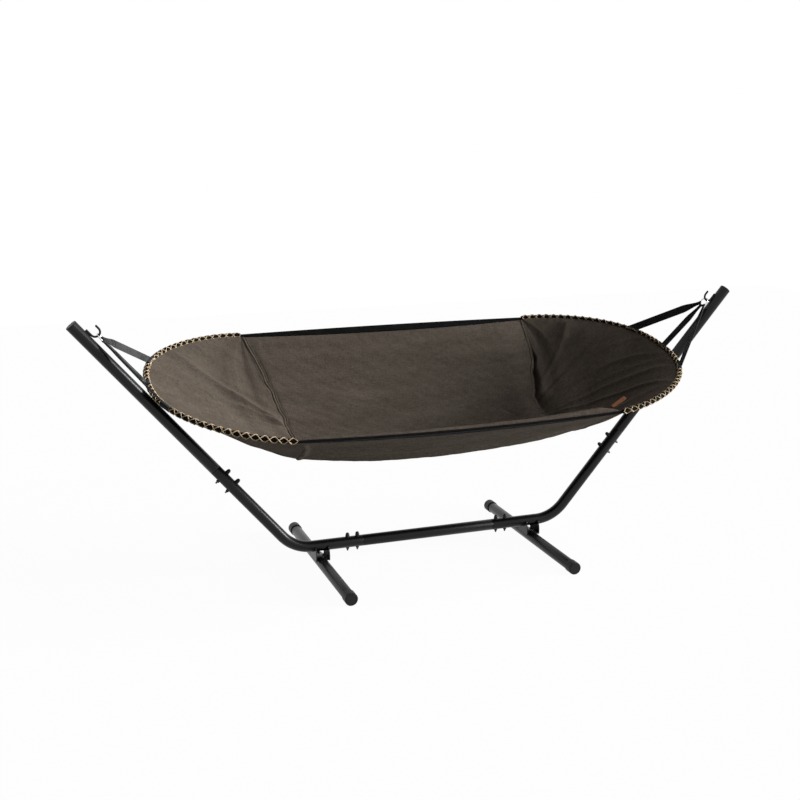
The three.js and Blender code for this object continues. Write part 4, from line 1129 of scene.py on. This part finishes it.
def laceAngles(name, side):
    # where along the hoop the lacing is, and how far round, one number for each step
    marks = [lacing["end"]]
    for order in strap["places"].values():
        seat = strapSeat(name, side, order)
        marks.append(seat["where"] - seat["half"] - lacing["clear"])
        marks.append(seat["where"] + seat["half"] + lacing["clear"])
    marks.append(hoopLength - lacing["end"])
    where, turned = [], [0]
    for start, stop in zip(marks[::2], marks[1::2]):
        where += [start, stop]
        turned += [turned[-1], turned[-1] + max(round((stop - start) / lacing["pitch"]), 1)]
    return np.array(where), np.array(turned[1:]) * math.pi


def laceLean(at):
    # round the hoop the crossings move from above its outer side to above its inner side
    return lacing["lean"] * (1 - 2 * at / hoopLength)


def laceStrand(name, side, way, start):
    where, turned = laceAngles(name, side)
    # even steps of cord: both along the hoop and round it
    fine = np.linspace(where[0], where[-1], 40001)
    angle = np.interp(fine, where, turned)
    speed = np.sqrt(np.diff(fine) ** 2 + (np.diff(angle) * (shape["hoop"] + 2)) ** 2)
    length = np.concatenate([[0], np.cumsum(speed)])
    even = np.linspace(0, length[-1], int(length[-1] / lacing["stepLength"]))
    at, a = np.interp(even, length, fine), np.interp(even, length, angle)
    resting = np.interp(even, length, np.concatenate([[0], (np.diff(angle) < 1e-9).astype(float)]))
    # at the crossings each strand goes over and under the others in turn
    lift = lacing["over"] * 0.5 * (1 + way * np.cos(2 * a)) * (1 - resting)
    # by a strap's lap the strands run straight, side by side, and pass under it at the outer side
    soft = np.convolve(np.pad(resting, 8, mode="edge"), np.ones(17) / 17, mode="valid")
    turn = start + way * a + soft * way * lacing["apart"] + laceLean(at)
    outer = 0.5 * (1 + np.cos(turn))
    turn = (turn - soft * (1 - outer) * (lacing["inside"] + laceLean(at)))[:, None]
    reach = padding["radius"] + lacing["radius"] - lacing["sink"] + lift - soft * lacing["under"] * outer
    centre, out, up = onLine(hoops[name], at, "centre", "out", "up")
    return centre + reach[:, None] * (np.cos(turn) * out + np.sin(turn) * up), centre


def addHoopSleeve(name, side):
    at = np.linspace(0, hoopLength, padding["steps"])
    where, turned = laceAngles(name, side)
    angle = np.interp(at, where, turned)
    turn = fullTurn(padding["around"])
    pinch = np.zeros((len(at), len(turn)))
    for strand, way, start in lacing["starts"]:
        off = (turn - (start + way * angle + laceLean(at))[:, None] + math.pi) % (2 * math.pi) - math.pi
        pinch += hump(off * padding["radius"], 0, padding["reach"])
    pinch *= ((at > where[0]) & (at < where[-1]))[:, None]
    rumple = waves(turn[None] * 12, at[:, None], 60, 18, 6, 0.6, 90 + side) * padding["rumple"]
    radius = padding["radius"] + padding["puff"] - padding["pinch"] * np.clip(pinch, 0, 1.2) + rumple
    mouth = np.clip(np.minimum(at, hoopLength - at) / padding["mouth"], 0, 1)
    radius = radius * (0.55 + 0.45 * np.sqrt(1 - (1 - mouth) ** 2))[:, None]
    rings = spunRound(*onLine(hoops[name], at, "centre", "out", "up"), turn, radius)
    skinPiece(f"{name}_hoop_sleeve", rings, "hoop_sleeve", "sling", sharp=80, replaces=f"{name}_hoop")


def addLacing(name, side):
    total = 0
    turn = fullTurn(lacing["around"])
    for strand, way, start in lacing["starts"]:
        line, centre = laceStrand(name, side, way, start)
        run = arcAlong(line)
        total += run[-1]
        ahead = unit(np.gradient(line, axis=0))
        off = line - centre
        off = unit(off - ahead * np.sum(off * ahead, axis=1, keepdims=True))
        lay = lacing["lobes"] * turn[None] + 2 * math.pi * run[:, None] / lacing["twist"]
        wire = lacing["radius"] * (1 + lacing["lobeDepth"] * np.cos(lay))
        rings = spunRound(line, off, np.cross(ahead, off), turn, wire)
        skinPiece(f"{name}_lacing_{strand}", rings, "lacing_cord", "sling", sharp=85,
                  replaces=f"{name}_lacing")
    print(f"{name} lacing wound, {total * mm:.2f} m of cord")


for name, side in sides:
    addHoopSleeve(name, side)
for name, side in sides:
    addLacing(name, side)


# Straps: ribbed tape, pleated round the ring, straight to the hoop and lapped round it
def addStrapTape(title, seat):
    flare, ahead, go = strap["flare"], seat["ahead"], seat["go"]
    long = np.linalg.norm(seat["foot"] - seat["root"])
    wide = unit(go - ahead * np.dot(go, ahead))
    face = np.cross(ahead, wide)
    b = np.linspace(-1, 1, strap["columns"])
    run = np.concatenate([np.linspace(-6, flare, 40), np.linspace(flare, long, 50)[1:]])
    at = run[:, None]
    share = np.clip(at / flare, 0, 1)
    ease = share * share * (3 - 2 * share)
    half = (strap["root"] + (strap["width"] - strap["root"]) * ease) / 2
    # the tape's ends slant to follow the hoop
    slant = np.clip((at - flare) / (long - flare), 0, 1) * np.dot(go, ahead) * seat["half"]
    pleat = strap["pleat"] * (1 - ease) * np.cos(2.5 * math.pi * b)
    grid = seat["root"] + ahead * (at + slant * b)[..., None] + wide * (half * b)[..., None]
    grid = grid + face * pleat[..., None]
    lift = face * strap["thick"] / 2
    rings = np.concatenate([grid + lift, (grid - lift)[:, ::-1]], axis=1)
    across = np.linspace(0, strap["width"] * mm, strap["columns"])
    uv = gridUv(run * mm, np.concatenate([across, across[::-1], across[:1]]))
    skinPiece(f"{title}_tape", rings, "webbing", "sling", uv=uv, sharp=50, replaces=title,
              finish=finishes["strap_webbing"])
    return grid, face if face[2] > 0 else -face, run


def addRingLoop(title, side, order):
    # the tape gathered round the ring's wire
    spread = strap["root"] / ring["radius"] / 2 + 0.04
    steps, around = 40, 28
    off = np.linspace(-spread, spread, steps)
    turn = order * strap["turn"] + off
    ends = np.clip((1 - np.abs(off) / spread) * 10, 0, 1) ** 0.5
    thick = strap["thick"] + 0.35 * np.cos(5 * math.pi * off / spread)
    outer = ring["wire"] + 0.5 + thick * (0.55 + 0.45 * ends)
    inside = ringSkin(side, turn, around, ring["wire"] + 0.2)[::-1]
    rings = np.concatenate([ringSkin(side, turn, around, outer[:, None]), inside])
    uv = gridUv(np.arange(2 * steps + 1) * 0.0008, np.arange(around + 1) * 0.001)
    skinPiece(f"{title}_ring_loop", rings, "webbing", "sling", closed=True, uv=uv, sharp=60,
              finish=finishes["strap_webbing"])


def addHoopLap(title, seat):
    # the tape's end, lapped round the sleeve
    a = np.linspace(-strap["wrap"], strap["wrap"], 45)
    b = np.linspace(-seat["half"], seat["half"], 25)
    other = np.cross(seat["go"], seat["radial"])
    way = (np.cos(a)[:, None] * seat["radial"] + np.sin(a)[:, None] * other)[:, None]
    inner = padding["radius"] + strap["lapGap"]
    outer = inner + strap["thick"]
    top = way * (outer + 0.25 * np.cos(b / 2.2))[:, None] + seat["go"] * b[:, None]
    rings = seat["at"] + np.concatenate([top, way * inner + seat["go"] * b[::-1, None]], axis=1)
    uv = gridUv(a * outer * mm, np.concatenate([b, b[::-1], b[:1]]) * mm)
    skinPiece(f"{title}_hoop_lap", rings, "webbing", "sling", uv=uv, sharp=50,
              finish=finishes["strap_webbing"])


def addStrapStitches(title, grid, lift, run):
    # a sewn box below the ring and another above the hoop, on the tape's upper face
    byHoop = [run[-1] - back for back in strap["boxes"]["hoop"]]
    for count, stops in enumerate([strap["boxes"]["ring"], byHoop], 1):
        first, last = (int(np.argmin(np.abs(run - where))) for where in stops)
        corners = [grid[first, 3], grid[first, -4], grid[last, -4], grid[last, 3]]
        trail = [corners[k] for k in (0, 1, 2, 3, 0, 2, 3, 1)]
        shares = np.linspace(0, 1, 24)[:-1]
        line = [a + (b - a) * share for a, b in zip(trail, trail[1:]) for share in shares]
        line = np.array(line) + lift * (strap["thick"] / 2 + 0.1)
        stitches(f"{title}_box_{count}", line, np.broadcast_to(lift, line.shape), "webbing", strap)


for name, side in sides:
    for place, order in strap["places"].items():
        title, seat = f"{name}_{place}_strap", strapSeat(name, side, order)
        grid, lift, run = addStrapTape(title, seat)
        addRingLoop(title, side, order)
        addHoopLap(title, seat)
        addStrapStitches(title, grid, lift, run)
print("straps lapped")

# Edge webbing: tape folded over the long edges, round at the fold
binding = {
    "hold": 1.7, "thick": 1.9, "bead": 5.4, "endDepth": 14, "depth": 38, "rise": 4.0, "steps": 321,
    "ripple": 0.8, "out": 1.5, "stitch": 4.6, "gap": 2.2, "thread": 0.5,
}


def bindingSections(t):
    # one section for each place along the edge: deepest half way, as the tape is wider there
    deep = binding["endDepth"] + (binding["depth"] - binding["endDepth"]) * np.clip(1 - t ** 2, 0, 1)
    hold, bead = binding["hold"], binding["bead"]
    wide = hold + binding["thick"]
    low = binding["rise"] - bead
    crown = [(bead * math.cos(a), low + bead * math.sin(a), 0) for a in quarter(180, 0, 13)]
    # across, up, and the share of the tape's depth below that
    side = [(wide, -3, 0.3), (wide, 0, 0.62), (wide, 0.6, 1)]
    section = [(-x, up, share) for x, up, share in side[::-1]] + [(-bead + 0.4, -3.5, 0.1)]
    section += crown + [(bead - 0.4, -3.5, 0.1)] + side + [(wide - 0.6, 0, 1), (hold, 0, 1)]
    section += [(hold, -2, 0.3), (hold, -2, 0), (-hold, -2, 0), (-hold, -2, 0.3), (-hold, 0, 1)]
    across, up, share = np.array(section + [(-wide + 0.6, 0, 1)]).T
    height = up - share * deep[:, None]
    return np.broadcast_to(across, height.shape), height, deep


def edgeFrame(t, way):
    edge = crossCurve(t, max(way, 0))
    upward = edge - crossCurve(t, 1 / 18 if way < 0 else 17 / 18)
    upward[:, 0] = 0
    upward = unit(upward)
    outside = np.stack([0 * t, way * upward[:, 2], -way * upward[:, 1]], axis=-1)
    return edge + outside * binding["out"], outside, upward


def sectionUv(run, across, height, last):
    # round the section half way along, and closed by one more face
    middle = len(run) // 2
    around = arcAlong(np.column_stack([across[middle], height[middle]])) * mm
    return gridUv(run * mm, np.append(around, around[-1] + last))


def addEdgeWebbing(name, way):
    t = np.linspace(-1.004, 1.004, binding["steps"])
    base, outside, upward = edgeFrame(t, way)
    run = arcAlong(base)
    sway = waves(run * 0, run, 220, 60, 5, 0.02, 120 + way) * binding["ripple"]
    across, height, deep = bindingSections(t)
    across = across + sway[:, None] * np.clip(-height / 30, 0, 1)
    rings = swept(base, outside, upward, across, height)
    skinPiece(f"{name}_edge_binding", rings, "webbing", "sling", sharp=50,
              uv=sectionUv(run, across, height, 0.004), replaces=f"{name}_edge_webbing")
    for row, low in (("upper", deep * 0 + 8.5), ("lower", deep - 3.5)):
        for face, sign in (("inside", -1), ("outside", 1)):
            off = sign * (binding["hold"] + binding["thick"] + 0.05) + sway * np.clip(low / 30, 0, 1)
            line = base + outside * off[:, None] - upward * low[:, None]
            stitches(f"{name}_binding_{row}_{face}", line, outside * sign, "webbing", binding)


# Hem: inside the near edge the cloth turns over in a soft roll that stands above the tape
hem = {
    "steps": 241, "around": 36, "low": 9, "tall": 13, "ripple": 1.6,
    # how far the roll stands in from the edge, from place to place: it is fullest toward the right
    "at": [-1, -0.95, -0.8, -0.4, 0.0, 0.5, 0.86, 0.95, 1], "full": [2, 18, 17, 16, 19, 23, 34, 20, 2],
}


def addNearHem():
    t = np.linspace(-0.985, 0.985, hem["steps"])
    base, outside, upward = edgeFrame(t, -1)
    run = arcAlong(base)
    full = np.interp(t, hem["at"], hem["full"])
    full = full + hem["ripple"] * waves(run * 0, run, 240, 70, 5, 0.02, 140) * (1 - t ** 8)
    turn = fullTurn(hem["around"])
    across = -binding["out"] - full[:, None] / 2 * (1 - np.cos(turn))
    height = np.broadcast_to(hem["tall"] * np.sin(turn) - hem["low"], across.shape)
    skinPiece("near_hem_roll", swept(base, outside, upward, across, height), "canvas", "sling", sharp=60,
              uv=sectionUv(run, across, height, 0.003))


for name, way in edges:
    addEdgeWebbing(name, way)
addNearHem()
print("edges bound")

# Tag: a blank patch of leather with round corners, sewn flat to the right end panel
tag = {
    "s": (0.365, 0.023), "u": (0.46, 0.06), "thick": 1.5, "round": 0.32, "grid": 25, "inset": 0.86,
    "stitch": 3.0, "gap": 1.4, "thread": 0.35,
}


def tagCloth(x, y):
    # the end panel under the tag, from the tag's own middle out to 1 at its edges
    return endCloth("right", 1, tag["s"][0] + x * tag["s"][1], tag["u"][0] + y * tag["u"][1])


def addTag():
    x, y = np.meshgrid(*[np.linspace(-1, 1, tag["grid"])] * 2, indexing="ij")
    pull = 1 - tag["round"] * 0.5 * np.abs(x * y) ** 6
    grid = tagCloth(x * pull, y * pull)
    normal = surfaceNormals(grid)
    lifted = grid - normal * (tag["thick"] - 0.1)
    halfWay = tag["grid"] // 2
    clothPiece("tag_patch", lifted, lifted[:, halfWay, 0] * mm, arcAlong(lifted[halfWay]) * mm,
               slot="leather", inside=0, thick=tag["thick"], replaces="tag")
    inset, path = tag["inset"], []
    for k in range(4):
        c, d = math.cos(k * math.pi / 2), math.sin(k * math.pi / 2)
        path += [(a * c + inset * d, a * d - inset * c) for a in np.linspace(-inset, inset, 12)[:-1]]
    line = tagCloth(*np.array(path + path[:1]).T)
    lift = -np.broadcast_to(normal.mean(axis=(0, 1)), line.shape)
    stitches("tag_stitches", line + lift * (tag["thick"] + 0.15), lift, "lacing_cord", tag)


addTag()
print("tag sewn on")

# Floor, backdrop and light
studio = {"floor": 14.0, "grey": 0.75, "pale": 0.8, "glow": 1.035, "shown": 0.93, "ambient": 0.03}
suns = {
    # degrees round from the front toward the right, degrees up, strength, and angle across
    "key": (72, 9.5, 3.8, 14),
    "top": (85, 50, 0.78, 30),
    "front": (48, 27, 0.2, 6),
}


def bySight(tree, light, sight):
    # one thing for light that falls on the sling, another for what is seen or mirrored
    rays = put(tree, "ShaderNodeLightPath")
    seen = sums(tree, "ADD", rays.outputs["Is Camera Ray"], rays.outputs["Is Glossy Ray"])
    seen = sums(tree, "MINIMUM", sums(tree, "ADD", seen, rays.outputs["Is Transmission Ray"]), 1.0)
    made = put(tree, "ShaderNodeMixShader", {"Fac": seen, 1: light.outputs[0], 2: sight.outputs[0]})
    return {"Surface": made.outputs[0]}


def addFloor():
    half = studio["floor"] / 2
    mesh = bpy.data.meshes.new("floor")
    corners = [(-half, -half, 0), (half, -half, 0), (half, half, 0), (-half, half, 0)]
    mesh.from_pydata(corners, [], [(0, 1, 2, 3)])
    floor = bpy.data.objects.new("floor", mesh)
    bpy.context.scene.collection.objects.link(floor)
    material = bpy.data.materials.new("floor_white")
    material.use_nodes = True
    tree = material.node_tree
    tree.nodes.clear()
    # the camera sees it white with a faint shadow, and the sling isn't lit up from below by it
    lit, seen = (put(tree, "ShaderNodeBsdfDiffuse", {"Color": (studio[key],) * 3 + (1,)})
                 for key in ("grey", "pale"))
    glow = put(tree, "ShaderNodeEmission", {"Color": (1, 1, 1, 1), "Strength": studio["glow"]})
    white = put(tree, "ShaderNodeMixShader", {"Fac": studio["shown"], 1: seen.outputs[0], 2: glow.outputs[0]})
    put(tree, "ShaderNodeOutputMaterial", bySight(tree, lit, white))
    mesh.materials.append(material)


def addWorld():
    world = bpy.data.worlds.new("studio")
    bpy.context.scene.world = world
    world.use_nodes = True
    tree = world.node_tree
    tree.nodes.clear()
    grey, white = (put(tree, "ShaderNodeBackground", {"Color": (1, 1, 1, 1), "Strength": strength})
                   for strength in (studio["ambient"], 1.0))
    put(tree, "ShaderNodeOutputWorld", bySight(tree, grey, white))


def addSun(name, around, up, strength, angle):
    lamp = bpy.data.lights.new(name, "SUN")
    lamp.energy = strength
    lamp.angle = math.radians(angle)
    sun = bpy.data.objects.new(name, lamp)
    around, up = math.radians(around), math.radians(up)
    source = Vector((math.sin(around) * math.cos(up), -math.cos(around) * math.cos(up), math.sin(up)))
    sun.rotation_euler = source.to_track_quat("Z", "Y").to_euler()
    bpy.context.scene.collection.objects.link(sun)


addFloor()
addWorld()
for name, settings in suns.items():
    addSun(name, *settings)
bpy.context.scene.view_settings.view_transform = "Standard"
print("studio lit")
